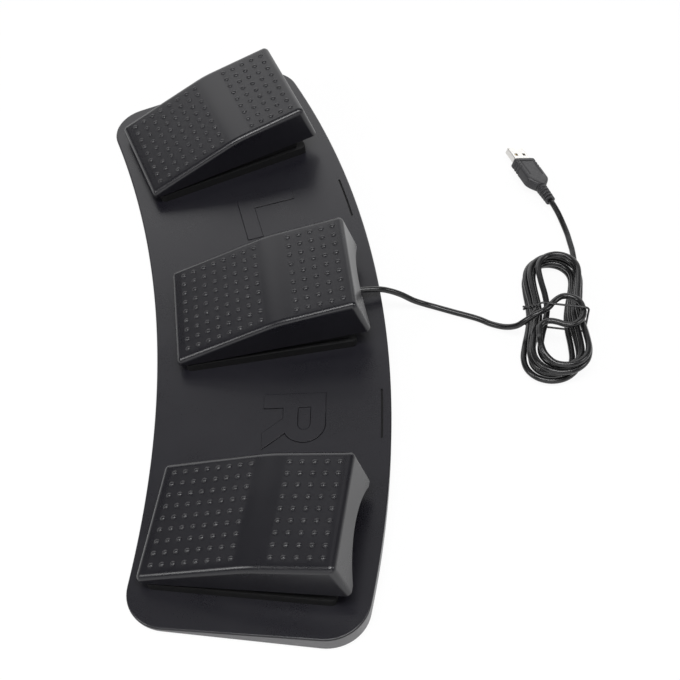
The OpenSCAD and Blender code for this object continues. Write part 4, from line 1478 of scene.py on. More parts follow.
    def shell_outline(self, inset: float, corner: float) -> Outline:
        """Rounded rectangle of the shell.

        Args:
            inset: How far it is set in.
            corner: Radius of its corners.

        Returns:
            Its points.
        """
        wide, high = self.shell_w / 2 - inset - corner, self.shell_h / 2 - inset - corner
        points = []
        for y, z, start in ((1, 1, 0), (-1, 1, 90), (-1, -1, 180), (1, -1, 270)):
            points += quarter_arc((y * wide, z * high), corner, start, self.corner_steps)
        return points

    def shell(self) -> bpy.types.Mesh:
        """The folded shell with its four latch holes.

        Returns:
            The mesh.
        """
        start = self.relief_l + self.grip_l - self.shell_in
        end = start + self.shell_in + self.shell_l
        outer_r, inner_r = self.shell_r
        inset, corner, length = self.lead_in
        outer, inner = self.shell_outline(0, outer_r), self.shell_outline(self.shell_wall, inner_r)
        rows = [(start, outer), (end - length, outer), (end, self.shell_outline(inset, corner)),
                (end, inner), (start, inner), (start, outer)]
        bm = bmesh.new()
        add_rings(bm, [[(x, y, z) for y, z in ring] for x, ring in rows], False)
        bmesh.ops.remove_doubles(bm, verts=bm.verts, dist=WELD)
        cutter = bmesh.new()
        middle = start + self.shell_in + self.shell_l / 2
        near = middle - self.hole
        for side in (-1, 1):
            low, high = span(side * self.shell_w / 4, self.hole / 2)
            corners = [(near, low), (middle, low), (middle, high), (near, high)]
            add_prism(cutter, corners, -self.shell_h, self.shell_h)
        return to_metres(carved(bm, cutter), "plug_shell", self.sharp[1])

    def build(self, shop: Workshop) -> list[bpy.types.Object]:
        """Build the plug.

        Args:
            shop: The workshop.

        Returns:
            Its pieces, its two inner nodes among them.
        """
        matrix = self.matrix()
        matrix.translation *= MM
        shop.dress(NYLON, "plug_tongue")
        shop.dress(GOLD, "plug_contacts")
        return [
            shop.add("plug_overmould", self.overmould(), OVERMOULD, Slot.GRIP, ("plug_grip",),
                     matrix=matrix),
            shop.add("plug_case", self.shell(), NICKEL, Slot.NICKEL, ("plug_shell",),
                     matrix=matrix),
            shop.nodes["plug_tongue"],
            shop.nodes["plug_contacts"],
        ]


# The base

@dataclass
class Marks:
    """The raised left and right marks on the deck, with a fine line round each.

    Args:
        fan: The fan of pedals.
        r: Distance of the marks from the fan's centre.
        tall: Height of a mark.
        stroke: Width of its strokes.
        shift: How far it is off the middle between two pedals.
        h: How far it stands up.
        sink: How far it reaches into the deck.
        soft: Rounding of its edges.
        line: Width of the fine line round it.
        line_sides: How many sides the fine line's cutter has.
        bowl: Radius and place of the right mark's bowl, in heights, and its thickness, in strokes.
        leg_h: Height of the right mark's leg, in heights.
        leg_top: Where the leg's top starts and ends, in strokes.
        leg_foot: How far before and past the mark's end the leg's foot lies, in strokes.
        bowl_steps: Pieces that the bowl is cut into, outside and inside.
    """

    fan: Fan
    r: float = 568.0
    tall: float = 35.0
    stroke: float = 9.4
    shift: float = 2.0
    h: float = 0.4
    sink: float = 0.9
    soft: float = 0.2
    line: float = 0.36
    line_sides: int = 8
    bowl: tuple[float, float, float] = (0.34, 0.6, 0.88)
    leg_h: float = 0.35
    leg_top: tuple[float, float] = (1.68, 2.84)
    leg_foot: tuple[float, float] = (0.96, 0.2)
    bowl_steps: tuple[int, int] = (24, 18)

    def left(self) -> list[Outline]:
        """Outline of the left mark."""
        tall, stroke = self.tall, self.stroke
        return [[(0, 0), (tall, 0), (tall, stroke), (stroke, stroke), (stroke, tall), (0, tall)]]

    def right(self) -> list[Outline]:
        """Outlines of the right mark and of its eye.

        Returns:
            The two outlines.
        """
        tall, stroke = self.tall, self.stroke
        size, along, thick = self.bowl
        bowl_r = tall * size
        eye_r = bowl_r - stroke * thick
        bowl = (tall * along, tall - bowl_r)
        leg_y, bar_y = tall * self.leg_h, bowl[1] - bowl_r
        top, foot = stroke * self.leg_top[0], tall - stroke * self.leg_foot[0]
        meet = top + (foot - top) * (leg_y - bar_y) / leg_y
        turn, quarter = -math.asin((bowl[1] - leg_y) / bowl_r), math.pi / 2
        mark = [(0, 0), (stroke, 0), (stroke, bar_y), (meet, bar_y), (foot, 0),
                (tall + stroke * self.leg_foot[1], 0), (stroke * self.leg_top[1], leg_y),
                *arc(bowl, bowl_r, turn, quarter, self.bowl_steps[0]), (0, tall)]
        eye = [(stroke, bowl[1] - eye_r), *arc(bowl, eye_r, -quarter, quarter, self.bowl_steps[1]),
               (stroke, bowl[1] + eye_r)]
        return [mark, eye]

    def set_in(self, deck: BMesh) -> BMesh:
        """Set the marks in the deck.

        Args:
            deck: The base, which is freed.

        Returns:
            The base with its marks.
        """
        marks, lines = bmesh.new(), bmesh.new()
        for side, loops in ((-1, self.left()), (1, self.right())):
            shift = -self.tall / 2 + side * self.shift
            place = (self.fan.on_ray(side * self.fan.angle / 2, self.r, -self.sink)
                     @ Matrix.Translation((shift, 0, 0)))
            merge(marks, filled(loops, self.sink + self.h, self.soft), place)
            for loop in loops:
                line = bmesh.new()
                add_tube(line, [Vector((x, y, self.sink)) for x, y in loop], self.line,
                         self.line_sides, True)
                merge(lines, line, place)
        deck = carved(deck, lines)
        merge(deck, marks)
        return deck


@dataclass
class BasePlate:
    """The low wedge that carries the pedals, with its hollow, raised marks and grooves.

    Args:
        fan: The fan of pedals.
        rear_r: Radius of the rear edge about the fan's centre.
        end_angle: Angle of the two ends, in degrees.
        end_margin: Deck beside the low corners of the outer pedals.
        pedal_half: Half the width of a pedal.
        front_edge_r: Radius of the concave front edge.
        front_gap: Distance of the front edge from the fan's low edges at the middle.
        front_corner_r: Radius of the front corners.
        rear_corner_r: Radius of the rear corners.
        foot_h: Height of the underside.
        rim_t: Thickness of the rim.
        deck_t: Thickness of the deck.
        hollow_room: Height of the hollow where it starts, with the cover.
        top_soft: Rounding of the upper edge.
        low_soft: Rounding of the lower edge.
        soft_steps: Pieces that the upper and the lower rounding are cut into.
        groove: Distance from the rear edge, width, depth and half angle of the grooves.
        corner_steps: Pieces that a corner is cut into.
        edge_steps: Pieces that the front and the rear edge are cut into.
        groove_steps: Pieces that a groove is cut into.
    """

    fan: Fan
    rear_r: float = 639.5
    end_angle: float = 13.8
    end_margin: float = 21.6
    pedal_half: float = 35.25
    front_edge_r: float = 691.0
    front_gap: float = 12.5
    front_corner_r: float = 22.5
    rear_corner_r: float = 23.0
    foot_h: float = 1.2
    rim_t: float = 2.6
    deck_t: float = 2.5
    hollow_room: float = 3.1
    top_soft: float = 0.9
    low_soft: float = 0.35
    soft_steps: tuple[int, int] = (4, 2)
    groove: tuple[float, float, float, float] = (5.0, 1.2, 0.8, 1.5)
    corner_steps: int = 14
    edge_steps: int = 90
    groove_steps: int = 16

    def fan_y(self) -> float:
        """Where the fan's centre lies along Y."""
        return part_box("base_plate")[1].y / MM - self.rear_r

    def outline(self, inset: float) -> Outline:
        """Plan of the base, set in by a distance.

        Args:
            inset: The distance.

        Returns:
            Points about the part's origin, from the front right corner round to the front left one.
        """
        angle, spread = math.radians(self.end_angle), math.radians(self.fan.angle)
        normal = Vector((math.cos(angle), -math.sin(angle)))
        along = Vector((math.sin(angle), math.cos(angle)))
        low_corner = (Vector((math.cos(spread), -math.sin(spread))) * self.pedal_half
                      + Vector((math.sin(spread), math.cos(spread))) * self.fan.radius)
        end_off = low_corner.dot(normal) + self.end_margin
        front_centre = Vector((0, -(self.front_edge_r - (self.fan.radius - self.front_gap))))
        off = end_off - self.front_corner_r
        into = off - front_centre.dot(normal)
        reach = self.front_edge_r + self.front_corner_r
        run = front_centre.dot(along) + math.sqrt(reach ** 2 - into ** 2)
        front = normal * off + along * run
        off = end_off - self.rear_corner_r
        rear = normal * off + along * math.sqrt((self.rear_r - self.rear_corner_r) ** 2 - off ** 2)
        to_front = front_centre - front
        start = math.atan2(to_front.y, to_front.x)
        half_rear = math.atan2(rear.y, rear.x)
        half_front = math.atan2(-to_front.y, -to_front.x)
        right = arc(front, self.front_corner_r - inset, start, -angle, self.corner_steps)
        right += arc(rear, self.rear_corner_r - inset, -angle, half_rear, self.corner_steps)
        points = right + arc((0, 0), self.rear_r - inset, half_rear, math.pi - half_rear,
                             self.edge_steps)[1:-1]
        points += [(-x, y) for x, y in reversed(right)]
        points += arc(front_centre, self.front_edge_r + inset, math.pi - half_front, half_front,
                      self.edge_steps)[1:-1]
        return [(x, y + self.fan_y()) for x, y in points]

    def wedge(self) -> BMesh:
        """The solid wedge with its edges rounded.

        Returns:
            The wedge.
        """
        bm = bmesh.new()
        outline = self.outline(0)
        low = [bm.verts.new((x, y, self.foot_h)) for x, y in outline]
        top = [bm.verts.new((x, y, self.fan.deck_h(y))) for x, y in outline]
        count = len(outline)
        for i in range(count):
            j = (i + 1) % count
            bm.faces.new((low[i], low[j], top[j], top[i]))
        bm.faces.new(low)
        bm.faces.new(top)
        bmesh.ops.recalc_face_normals(bm, faces=bm.faces)
        for ring, soft, steps in zip((top, low), (self.top_soft, self.low_soft), self.soft_steps):
            edges = [bm.edges.get((ring[i], ring[(i + 1) % count])) for i in range(count)]
            bmesh.ops.bevel(bm, geom=edges, offset=soft, segments=steps, profile=0.5,
                            affect="EDGES", clamp_overlap=False)
        return bm

    def hollow(self) -> BMesh:
        """What is cut out from below.

        Returns:
            The cutter.
        """
        apart = 100.0
        middle_h = self.fan.deck_h(0)
        tilt = (self.fan.deck_h(apart) - middle_h) / apart
        first = (self.foot_h + self.hollow_room + self.deck_t - middle_h) / tilt
        inner = self.outline(self.rim_t)
        clipped = []
        for (ax, ay), (bx, by) in zip(inner, inner[1:] + inner[:1]):
            if ay >= first:
                clipped.append((ax, ay))
            if (ay >= first) != (by >= first):
                clipped.append((ax + (bx - ax) * (first - ay) / (by - ay), first))
        bm = bmesh.new()
        drop = self.deck_t / self.fan.normal().z
        add_rings(bm, [[(x, y, 0.0) for x, y in clipped],
                       [(x, y, self.fan.deck_h(y) - drop) for x, y in clipped]])
        return bm

    def groove_cuts(self) -> BMesh:
        """The two short grooves near the rear edge.

        Returns:
            Their cutters.
        """
        inward, wide, deep, half = self.groove
        bm = bmesh.new()
        near, far = span(self.rear_r - inward, wide / 2)
        ends = span(math.pi / 2, math.radians(half))
        outline = arc((0, 0), far, *ends, self.groove_steps)
        outline += arc((0, 0), near, *reversed(ends), self.groove_steps)
        for side in (-1, 1):
            cut = bmesh.new()
            add_prism(cut, outline, -deep, deep)
            merge(bm, cut, self.fan.on_ray(side * self.fan.angle / 2, 0, 0))
        return bm

    def build(self, shop: Workshop) -> None:
        """Build the base plate and dress what is under it.

        Args:
            shop: The workshop.
        """
        bm = carved(carved(self.wedge(), self.hollow()), self.groove_cuts())
        bm = Marks(self.fan).set_in(bm)
        shop.add("base_shell", to_metres(bm, "base_shell"), PLATE, Slot.BLACK_PLASTIC,
                 ("base_plate",))
        shop.dress(SHADED_HOUSING, "bottom_cover")
        shop.dress(STEEL, "cover_screws", "body_screws", "board_screws")
        shop.dress(RUBBER, "rubber_feet")


# The pedals

@dataclass
class Studs:
    """Rows of small domes on a treadle's top.

    Args:
        zones: First and last column and their number, for each zone, along the pedal.
        rows: Number of rows across the pedal.
        half: Distance of the outer rows from the middle.
        r: Radius of a dome.
        h: Height of a dome.
        sides: How many sides a dome has.
        levels: Shares of a dome's angle at which its rings lie, from its rim up.
        root: How far a dome reaches into the treadle.
    """

    zones: tuple[tuple[float, float, int], ...] = ((7.16, 51.5, 8), (72.3, 99.2, 5))
    rows: int = 9
    half: float = 28.0
    r: float = 1.65
    h: float = 0.95
    sides: int = 14
    levels: tuple[float, ...] = (1.0, 0.82, 0.62, 0.40, 0.18)
    root: float = 0.3

    def add(self, bm: BMesh, top: Callable[[float], tuple[float, float]]) -> None:
        """Add all domes.

        Args:
            bm: Where the faces go.
            top: Gives the height and the slope of the treadle's top at a place along it.
        """
        big = (self.r ** 2 + self.h ** 2) / (2 * self.h)
        lean = math.asin(min(self.r / big, 1.0))
        for first, last, count in self.zones:
            for column in range(count):
                u = first + (last - first) * column / (count - 1)
                w, slope = top(u)
                tilt = math.atan(slope)
                for row in range(self.rows):
                    v = -self.half + 2 * self.half * row / (self.rows - 1)
                    place = Matrix.Translation((v, u, w)) @ Matrix.Rotation(tilt, 4, "X")
                    self.dome(bm, place, big, lean)

    def dome(self, bm: BMesh, matrix: Matrix, big: float, lean: float) -> None:
        """Add one dome.

        Args:
            bm: Where the faces go.
            matrix: Where it stands.
            big: Radius of its sphere.
            lean: Angle of its rim on that sphere.
        """
        rings = []
        for a in (lean * level for level in self.levels):
            r, z = big * math.sin(a), big * math.cos(a) - big + self.h
            rings.append([matrix @ Vector((x, y, z)) for x, y in circle(0, 0, r, self.sides)])
        skirt = [matrix @ Vector((x, y, -self.root)) for x, y in circle(0, 0, self.r, self.sides)]
        add_rings(bm, [skirt, *rings])


@dataclass
class Fittings:
    """Places and sizes of what is inside a treadle, in the pedal's frame.

    Args:
        pin: Place and height of the hinge pin.
        ear_r: Radius of an ear round the pin.
        ear_v: How far out an ear starts and ends.
        bore_r: Radius of the bore for the pin.
        boss: Half width of the spring's boss.
        seat: Height of the spring's seat.
        guide_r: Radius of the spring's guide.
        guide_l: Length of the spring's guide.
        guide_in: How far the guide reaches into its boss.
        blade: Place of the sensor's blade, across and along.
        blade_half: Half the thickness and half the length of the blade.
        blade_low: Height of the blade's lower end.
        stop: Place of a stop rib, out and along, and its half width.
        stop_low: Height of a stop rib's lower end.
        hook: Place of a snap hook, out and along, and its half width.
        hook_t: Thickness of a hook.
        hook_h: Height of a hook's tip and of its catch.
        hook_reach: How far the catch stands out.
        ear_steps: Pieces that an ear's round end is cut into.
        round_steps: Pieces that a bore or a guide is cut into.
    """

    pin: tuple[float, float] = (14.0, 7.0)
    ear_r: float = 3.7
    ear_v: tuple[float, float] = (26.65, 29.85)
    bore_r: float = 1.55
    boss: float = 6.5
    seat: float = 23.98
    guide_r: float = 3.25
    guide_l: float = 6.0
    guide_in: float = 1.0
    blade: tuple[float, float] = (-10.0, 82.0)
    blade_half: tuple[float, float] = (0.6, 3.0)
    blade_low: float = 17.0
    stop: tuple[float, float, float] = (25.25, 70.0, 4.0)
    stop_low: float = 15.5
    hook: tuple[float, float, float] = (23.25, 95.2, 3.0)
    hook_t: float = 2.6
    hook_h: tuple[float, float] = (10.0, 13.4)
    hook_reach: float = 2.4
    ear_steps: int = 16
    round_steps: int = 24


@dataclass
class Treadle:
    """The moving top of one pedal: two slopes, a blended crease, skirts and a leaning rear.

    Args:
        side: Which pedal it is.
        studs: Its studs.
        inner: Its inner fittings.
        width: Its width.
        low_l: Plan length of the steep lower slope.
        high_l: Plan length of the upper slope.
        lip_h: Height of its top at the low edge.
        crease_h: Height of its top at the crease.
        rear_h: Height of its top at the high edge.
        flare: How far its rear leans out at the bottom.
        hem: Height of the skirt's hem at the front and at the rear.
        arch: Width and height of the arch in the rear skirt.
        arch_steps: Pieces that the arch's circle is cut into.
        blend: Length on either side of the crease that is blended.
        blend_steps: Pieces that the blend is cut into.
        soft: Rounding of its edges.
        edge_steps: Pieces that a rounding is cut into.
        flat_edge: Narrow strip beside a rounding, which keeps the flat faces flat.
        wall: Thickness of its walls.
        cut_below: How far under the hem the hollow's cutter starts.
    """

    side: Side
    studs: Studs = field(default_factory=Studs)
    inner: Fittings = field(default_factory=Fittings)
    width: float = 70.5
    low_l: float = 60.0
    high_l: float = 45.5
    lip_h: float = 9.7
    crease_h: float = 29.9
    rear_h: float = 36.5
    flare: float = 6.5
    hem: tuple[float, float] = (5.6, 12.0)
    arch: tuple[float, float] = (58.0, 9.0)
    arch_steps: int = 128
    blend: float = 6.0
    blend_steps: int = 12
    soft: float = 3.2
    edge_steps: int = 7
    flat_edge: float = 0.4
    wall: float = 2.4
    cut_below: float = 3.0

    def slopes(self) -> tuple[float, float]:
        """Slopes of the lower and upper plane."""
        return ((self.crease_h - self.lip_h) / self.low_l,
                (self.rear_h - self.crease_h) / self.high_l)

    def top(self, u: float) -> tuple[float, float]:
        """Height and slope of the top at a place along the pedal, the crease's blend left out."""
        low, high = self.slopes()
        return ((self.lip_h + u * low, low) if u < self.low_l
                else (self.crease_h + (u - self.low_l) * high, high))

    def crown(self) -> Outline:
        """Points of the top along the pedal.

        Returns:
            The points, from the low edge to the high edge.
        """
        low, high = self.slopes()
        a = Vector((self.low_l - self.blend, self.crease_h - self.blend * low))
        b = Vector((self.low_l, self.crease_h))
        c = Vector((self.low_l + self.blend, self.crease_h + self.blend * high))
        parts = [i / self.blend_steps for i in range(self.blend_steps + 1)]
        bend = [tuple(a.lerp(b, t).lerp(b.lerp(c, t), t)) for t in parts]
        return [(0.0, self.lip_h), *bend, (self.low_l + self.high_l, self.rear_h)]

    def under(self, u: float, depth: float) -> tuple[float, float]:
        """A point at a place along the pedal, a depth below its top."""
        low, high = self.slopes()
        return u, min(self.lip_h + u * low - depth * math.hypot(1, low),
                      self.crease_h + (u - self.low_l) * high - depth * math.hypot(1, high))

    def profile(self) -> list[tuple[Vector, Vector, Vector]]:
        """The outer form along the pedal: up the front, over the crown and down the rear.

        Returns:
            For each place the point, the way that it faces, and the point at the side's flat edge.
        """
        deep = self.soft + self.flat_edge
        line = [Vector(p) for p in ((0.0, self.hem[0]), *self.crown(),
                                    (self.low_l + self.high_l + self.flare, self.hem[1]))]
        ways = [(b - a).normalized() for a, b in zip(line, line[1:])]
        faces = [Vector((-way.y, way.x)) for way in ways]
        places = [(line[0], faces[0], line[0] - faces[0] * deep)]
        for i in range(1, len(line) - 1):
            before, after = faces[i - 1], faces[i]
            inward = (before + after) / (1 + before.dot(after))
            if i not in (1, len(line) - 2):
                places.append((line[i], (before + after).normalized(), line[i] - inward * deep))
                continue
            bend, turn = line[i] - inward * self.soft, before.angle_signed(after)
            round_edge = []
            for step in range(self.edge_steps + 1):
                a = -turn * step / self.edge_steps
                face = Vector((before.x * math.cos(a) - before.y * math.sin(a),
                               before.x * math.sin(a) + before.y * math.cos(a)))
                round_edge.append((bend + face * self.soft, face, line[i] - inward * deep))
            if i > 1:
                places.append(self.beside(round_edge[0], -ways[i - 1] * self.flat_edge))
            places += round_edge
            places.append(self.beside(round_edge[-1], ways[i] * self.flat_edge))
        return [*places, (line[-1], faces[-1], line[-1] - faces[-1] * deep)]

    @staticmethod
    def beside(place: tuple[Vector, Vector, Vector], step: Vector) -> tuple[Vector, Vector, Vector]:
        """A place of the profile a short step along its flat part."""
        point, face, edge = place
        return point + step, face, edge + step

    def form(self) -> BMesh:
        """The outer form as a solid, with its edges rounded.

        Returns:
            The solid.
        """
        half, soft = self.width / 2, self.soft
        low, high = self.hem
        hem_slope = (high - low) / (self.low_l + self.high_l + self.flare)
        rings = []
        for point, face, edge in self.profile():
            section = [(half, edge)]
            for step in range(self.edge_steps, -1, -1):
                a = math.pi / 2 * step / self.edge_steps
                section.append((half - soft + soft * math.sin(a),
                                point - face * soft * (1 - math.cos(a))))
            section.append((half - soft - self.flat_edge, point))
            rings.append([*((-v, p, face) for v, p in section),
                          *((v, p, face) for v, p in reversed(section))])
        bm = bmesh.new()
        last = len(rings) - 1
        lofted = []
        for k, ring in enumerate(rings):
            row = []
            for v, p, face in ring:
                if k in (0, last):
                    way = Vector((face.y, -face.x))
                    p = p + way * (low + hem_slope * p.x - p.y) / (way.y - hem_slope * way.x)
                row.append(bm.verts.new((v, p.x, p.y)))
            lofted.append(row)
        for row, after in zip(lofted, lofted[1:]):
            for i in range(len(row) - 1):
                bm.faces.new((row[i], row[i + 1], after[i + 1], after[i]))
        for i in (0, -1):
            bm.faces.new([row[i] for row in lofted])
        bm.faces.new([*lofted[0], *reversed(lofted[-1])])
        bmesh.ops.remove_doubles(bm, verts=bm.verts, dist=WELD)
        bmesh.ops.dissolve_degenerate(bm, edges=bm.edges, dist=TINY)
        bmesh.ops.recalc_face_normals(bm, faces=bm.faces)
        return bm

    def hollow(self) -> BMesh:
        """What is cut out of the form from below.

        Returns:
            The cutter.
        """
        low, high = self.slopes()
        wall, below = self.wall, self.hem[0] - self.cut_below
        lean = self.flare / (self.rear_h - self.hem[1])
        inside = wall * math.hypot(1, lean)
        length = self.low_l + self.high_l
        crease = self.low_l + wall * (math.hypot(1, low) - math.hypot(1, high)) / (low - high)
        rear = length - (inside - wall * math.hypot(1, high) * lean) / (1 + high * lean)
        outline = [(wall, below), *(self.under(u, wall) for u in (wall, crease, rear)),
                   (length + (self.rear_h - below) * lean - inside, below)]
        bm = bmesh.new()
        add_prism(bm, outline, wall - self.width / 2, self.width / 2 - wall, across)
        return bm

    def archway(self) -> BMesh:
        """What is cut out of the rear skirt.

        Returns:
            The cutter.
        """
        wide, high = self.arch
        r = (wide * wide / 4 + high * high) / (2 * high)
        length = self.low_l + self.high_l
        bm = bmesh.new()
        add_prism(bm, circle(0, self.hem[1] + high - r, r, self.arch_steps), length - 2 * self.wall,
                  length + 2 * self.flare, lengthways)
        return bm

    def rib(self, bm: BMesh, v: tuple[float, float], u: tuple[float, float], low: float) -> None:
        """Add a rib that reaches up into the top wall.

        Args:
            bm: Where the faces go.
            v: Where it starts and ends across the pedal.
            u: Where it starts and ends along the pedal.
            low: Height of its underside.
        """
        top = [self.under(place, self.wall / 2) for place in reversed(u)]
        add_prism(bm, [(u[0], low), (u[1], low), *top], *v, across)

    def fittings(self) -> BMesh:
        """Hinge ears, spring boss, stop ribs, the sensor's blade and the snap hooks.

        Returns:
            All of them.
        """
        inner = self.inner
        bm = bmesh.new()
        (pin_u, pin_w), ear_r = inner.pin, inner.ear_r
        ear = arc((pin_u, pin_w), ear_r, math.pi, math.tau, inner.ear_steps)
        ear += [self.under(pin_u + ear_r, self.wall / 2), self.under(pin_u - ear_r, self.wall / 2)]
        bore = circle(pin_u, pin_w, inner.bore_r, inner.round_steps)
        on_edge = Matrix(((0, 0, 1, 0), (1, 0, 0, 0), (0, 1, 0, 0), (0, 0, 0, 1)))
        first, last = inner.ear_v
        for v in (-last, first):
            merge(bm, filled([ear, bore], last - first), Matrix.Translation((v, 0, 0)) @ on_edge)
        boss, guide = inner.boss, bmesh.new()
        self.rib(bm, span(0.0, boss), span(self.low_l, boss), inner.seat)
        add_prism(guide, circle(0, self.low_l, inner.guide_r, inner.round_steps),
                  inner.seat - inner.guide_l, inner.seat + inner.guide_in)
        merge(bm, guide)
        (blade_v, blade_u), (thin, long) = inner.blade, inner.blade_half
        self.rib(bm, span(blade_v, thin), span(blade_u, long), inner.blade_low)
        stop_v, stop_u, wide = inner.stop
        hook_v, hook_u, half = inner.hook
        tip, catch = inner.hook_h
        back = hook_u - inner.hook_t / 2
        barb = [(back, tip), (hook_u, tip), (hook_u + inner.hook_reach, catch), (back, catch)]
        for side in (-1, 1):
            self.rib(bm, span(side * stop_v, wide), span(stop_u, wide), inner.stop_low)
            hook = span(side * hook_v, half)
            self.rib(bm, hook, (hook_u - inner.hook_t, hook_u), tip)
            add_prism(bm, barb, *hook, across)
        return bm

    def build(self, shop: Workshop, fan: Fan) -> None:
        """Build the treadle.

        Args:
            shop: The workshop.
            fan: The fan of pedals.
        """
        bm = carved(carved(self.form(), self.hollow()), self.archway())
        merge(bm, self.fittings())
        self.studs.add(bm, self.top)
        pedal = fan.pedals[self.side]
        shop.add(f"tread_{self.side.word}", to_metres(bm, "tread"), TREAD.on(self.side.word, pedal),
                 Slot.BLACK_PLASTIC, (f"treadle_{self.side.word}",), self.side.body, pedal)


@dataclass
class ReturnSpring:
    """The coil spring under one treadle's crease.

    Args:
        side: Which pedal it is in.
        u: Its place along the pedal.
        d: Its middle diameter.
        wire: Diameter of its wire.
        turns: Number of turns.
        floor: Height of its seat on the body.
        seat: Height of its seat under the treadle.
        keep: Share of its height that is left at a full press; not used.
        clear: Space at each seat.
        flat: Share of its rise that its flattened ends hold back.
        sides: How many sides its wire has.
        turn_steps: Pieces that a turn is cut into.
    """

    side: Side
    u: float = 60.0
    d: float = 10.0
    wire: float = 1.1
    turns: int = 7
    floor: float = 2.0
    seat: float = 24.0
    keep: float = 0.872
    clear: float = 0.05
    flat: float = 0.2
    sides: int = 10
    turn_steps: int = 24

    def build(self, shop: Workshop, fan: Fan) -> None:
        """Build the spring.

        Args:
            shop: The workshop.
            fan: The fan of pedals.
        """
        low, high = self.floor + self.wire / 2 + self.clear, self.seat - self.wire / 2 - self.clear
        steps = self.turns * self.turn_steps
        coil = []
        for i in range(steps + 1):
            a, t = math.tau * i / self.turn_steps, i / steps
            ends = (ramp(t * self.turns) + ramp((t - 1) * self.turns + 1)) / 2
            rise = low + (high - low) * (t * (1 - self.flat) + ends * self.flat)
            coil.append(Vector((self.d / 2 * math.cos(a), self.u + self.d / 2 * math.sin(a), rise)))
        bm = bmesh.new()
        add_tube(bm, coil, self.wire / 2, self.sides)
        matrix = fan.pedals[self.side]
        piece = shop.add(f"coil_{self.side.word}", to_metres(bm, "coil"), STEEL, Slot.STEEL,
                         (f"return_spring_{self.side.word}",), matrix=matrix)
        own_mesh(piece)


@dataclass
class Pedal:
    """One pedal: its treadle, spring and the nodes inside it.

    Args:
        side: Which pedal it is.
        board: Name of the node of its circuit board.
    """

    side: Side
    board: str

    def build(self, shop: Workshop, fan: Fan) -> None:
        """Build what is replaced and dress the rest.

        Args:
            shop: The workshop.
            fan: The fan of pedals.
        """
        word = self.side.word
        Treadle(self.side).build(shop, fan)
        ReturnSpring(self.side).build(shop, fan)
        shop.dress(SHADED_HOUSING, f"pedal_body_{word}")
        shop.dress(STEEL, f"hinge_pin_{word}")
        shop.dress(RUBBER, f"bump_stops_{word}")
        shop.dress(EPOXY, f"light_gate_{word}")
        shop.dress(BOARD, self.board)


# Studio

@dataclass
class SoftBox:
    """A soft lamp.

    Args:
        name: Its name.
        at: Where it hangs, in metres.
        aim: What it points at, in metres.
        size: Its width and height, in metres.
        power: Its power, in watts.
        up: The direction of its height.
    """

    name: str
    at: tuple[float, float, float]
    aim: tuple[float, float, float]
    size: tuple[float, float]
    power: float
    up: tuple[float, float, float] = (0.0, 1.0, 0.0)

    def build(self) -> None:
        """Hang the lamp."""
        lamp = bpy.data.lights.new(self.name, "AREA")
        lamp.shape = "RECTANGLE"
        lamp.size, lamp.size_y = self.size
        lamp.energy = self.power
        holder = placed(self.name, lamp)
        back = (Vector(self.at) - Vector(self.aim)).normalized()
        holder.matrix_world = looking(self.at, back, self.up)
        holder.visible_camera = False


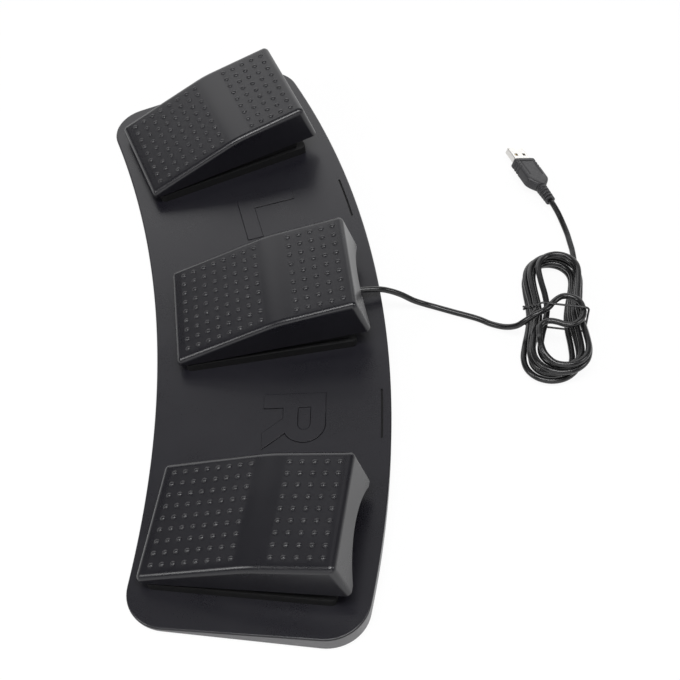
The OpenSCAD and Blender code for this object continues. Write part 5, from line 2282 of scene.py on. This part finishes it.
@dataclass
class Studio:
    """The pale floor, the light and the camera.

    Args:
        floor_half: Half the width of the floor, in metres.
        floor_drop: How far the floor lies under the feet, in metres.
        floor_cells: Number of cells along a side of the floor.
        floor_colour: The floor's colour.
        floor_glow: Share of plain white that a view of the floor has.
        sky: Brightness of the surroundings overhead.
        horizon: Brightness of the surroundings at the horizon.
        fade: Heights between which the horizon fades into the sky.
        camera_at: Where the camera stands, in metres.
        look: The direction that it looks in.
        up: The direction that is up in its picture.
        lens: Its focal length, in millimetres.
        sensor: Width of its sensor, in millimetres.
        near: Where its view starts, in metres.
        lamps: The lamps.
    """

    floor_half: float = 6.0
    floor_drop: float = 0.0002
    floor_cells: int = 8
    floor_colour: float = 0.85
    floor_glow: float = 0.92
    sky: float = 0.15
    horizon: float = 1.0
    fade: tuple[float, float] = (0.05, 0.25)
    camera_at: tuple[float, float, float] = (0.525785, 0.002394, 0.630440)
    look: tuple[float, float, float] = (-0.62566, 0.05979, -0.77780)
    up: tuple[float, float, float] = (-0.77139, 0.10112, 0.62827)
    lens: float = 72.70
    sensor: float = 36.0
    near: float = 0.01
    lamps: tuple[SoftBox, ...] = (
        SoftBox("overhead", (0.42, 0.05, 1.5), (0.42, 0.05, 0.0), (0.5, 1.2), 20.0),
        SoftBox("back_panel", (-1.0, 0.2, 0.6), (0.0, 0.2, 0.6), (0.9, 1.8), 8.0),
        SoftBox("high_panel", (-0.75, 0.2, 1.35), (0.15, 0.15, 0.0), (0.55, 1.2), 0.8),
        SoftBox("left_lamp", (0.3, -1.1, 0.9), (0.0, 0.0, 0.0), (0.5, 0.5), 6.0),
        SoftBox("right_lamp", (0.3, 1.2, 0.8), (0.0, 0.1, 0.0), (0.35, 0.35), 3.0),
        SoftBox("front_fill", (1.3, -0.1, 0.55), (0.0, 0.0, 0.0), (0.7, 1.6), 4.6),
    )

    def camera(self) -> None:
        """Set up the camera at the photograph's viewing angle."""
        lens = bpy.data.cameras.new("camera")
        lens.lens = self.lens
        lens.sensor_width = self.sensor
        lens.clip_start = self.near
        camera = placed("camera", lens)
        camera.matrix_world = looking(self.camera_at, -Vector(self.look).normalized(), self.up)
        bpy.context.scene.camera = camera

    def floor(self) -> None:
        """Lay the floor."""
        bm = bmesh.new()
        bmesh.ops.create_grid(bm, x_segments=self.floor_cells, y_segments=self.floor_cells,
                              size=self.floor_half)
        mesh = bpy.data.meshes.new("floor")
        bm.to_mesh(mesh)
        bm.free()
        piece = placed("floor", mesh)
        piece.location.z = -self.floor_drop
        material = bpy.data.materials.new("pale_floor")
        material.use_nodes = True
        sheet = NodeSheet(material.node_tree)
        seen = self.seen(sheet)
        colour = (*[self.floor_colour] * 3, 1.0)
        plain = sheet.node("ShaderNodeBsdfDiffuse", feeds={"Color": colour})
        white = sheet.node("ShaderNodeEmission", feeds={"Strength": 1.0})
        mixed = sheet.node("ShaderNodeMixShader",
                           feeds={0: seen * self.floor_glow, 1: plain, 2: white})
        sheet.node("ShaderNodeOutputMaterial", feeds={"Surface": mixed})
        mesh.materials.append(material)

    @staticmethod
    def seen(sheet: NodeSheet) -> Value:
        """Whether the camera sees a place, also in a mirror or through glass.

        Args:
            sheet: The material's node tree.

        Returns:
            1 where it does and 0 elsewhere.
        """
        paths = [sheet.node("ShaderNodeLightPath", output=f"Is {kind} Ray")
                 for kind in ("Camera", "Glossy", "Transmission")]
        return sheet.node("ShaderNodeClamp", feeds={"Value": paths[0] + paths[1] + paths[2]})

    def world(self) -> None:
        """Light the surroundings: pale at the horizon, dim overhead and white to the camera."""
        world = bpy.data.worlds.new("studio")
        bpy.context.scene.world = world
        world.use_nodes = True
        sheet = NodeSheet(world.node_tree)
        height = sheet.part_of(sheet.node("ShaderNodeTexCoord", output="Generated"), "Z")
        overhead = sheet.rise(height, *self.fade)
        room = sheet.mix(overhead, (self.horizon,) * 3, (self.sky,) * 3)
        camera = sheet.node("ShaderNodeLightPath", output="Is Camera Ray")
        colour = sheet.mix(camera, room, (1.0, 1.0, 1.0))
        light = sheet.node("ShaderNodeBackground", feeds={"Color": colour, "Strength": 1.0})
        sheet.node("ShaderNodeOutputWorld", feeds={"Surface": light})

    def build(self) -> None:
        """Set up the whole studio."""
        self.camera()
        self.floor()
        self.world()
        for lamp in self.lamps:
            lamp.build()
        bpy.context.scene.view_settings.view_transform = "Standard"


def clear_start_up() -> None:
    """Remove what Blender starts with, which isn't part of the frame."""
    kept = {*frame["nodes"].values(), *frame["bodies"].values()}
    for spare in [thing for thing in bpy.data.objects if thing not in kept]:
        bpy.data.objects.remove(spare)


def main() -> None:
    """Build the pieces in order."""
    logging.basicConfig(level=logging.INFO, format="%(name)s: %(message)s")
    clear_start_up()
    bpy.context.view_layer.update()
    shop = Workshop(frame["nodes"])
    fan = Fan().find(frame["joints"])
    Studio().build()
    hank = Hank()
    plug = Plug()
    Cord(hank).build(shop, fan, plug.matrix(), [*plug.build(shop), TwistTie(hank).build(shop)])
    BasePlate(fan).build(shop)
    for side, board in zip(Side, ("sensor_board_left", "controller_board", "sensor_board_right")):
        Pedal(side, board).build(shop, fan)
    shop.dress(EPOXY, "controller_chip")
    shop.dress(NYLON, "link_connectors", "cord_connector")
    shop.dress(JACKET, "link_cable_left", "link_cable_right", "cord_pigtail")
    shop.dress(RUBBER, "cord_gland")


if __name__ == "__main__":
    main()
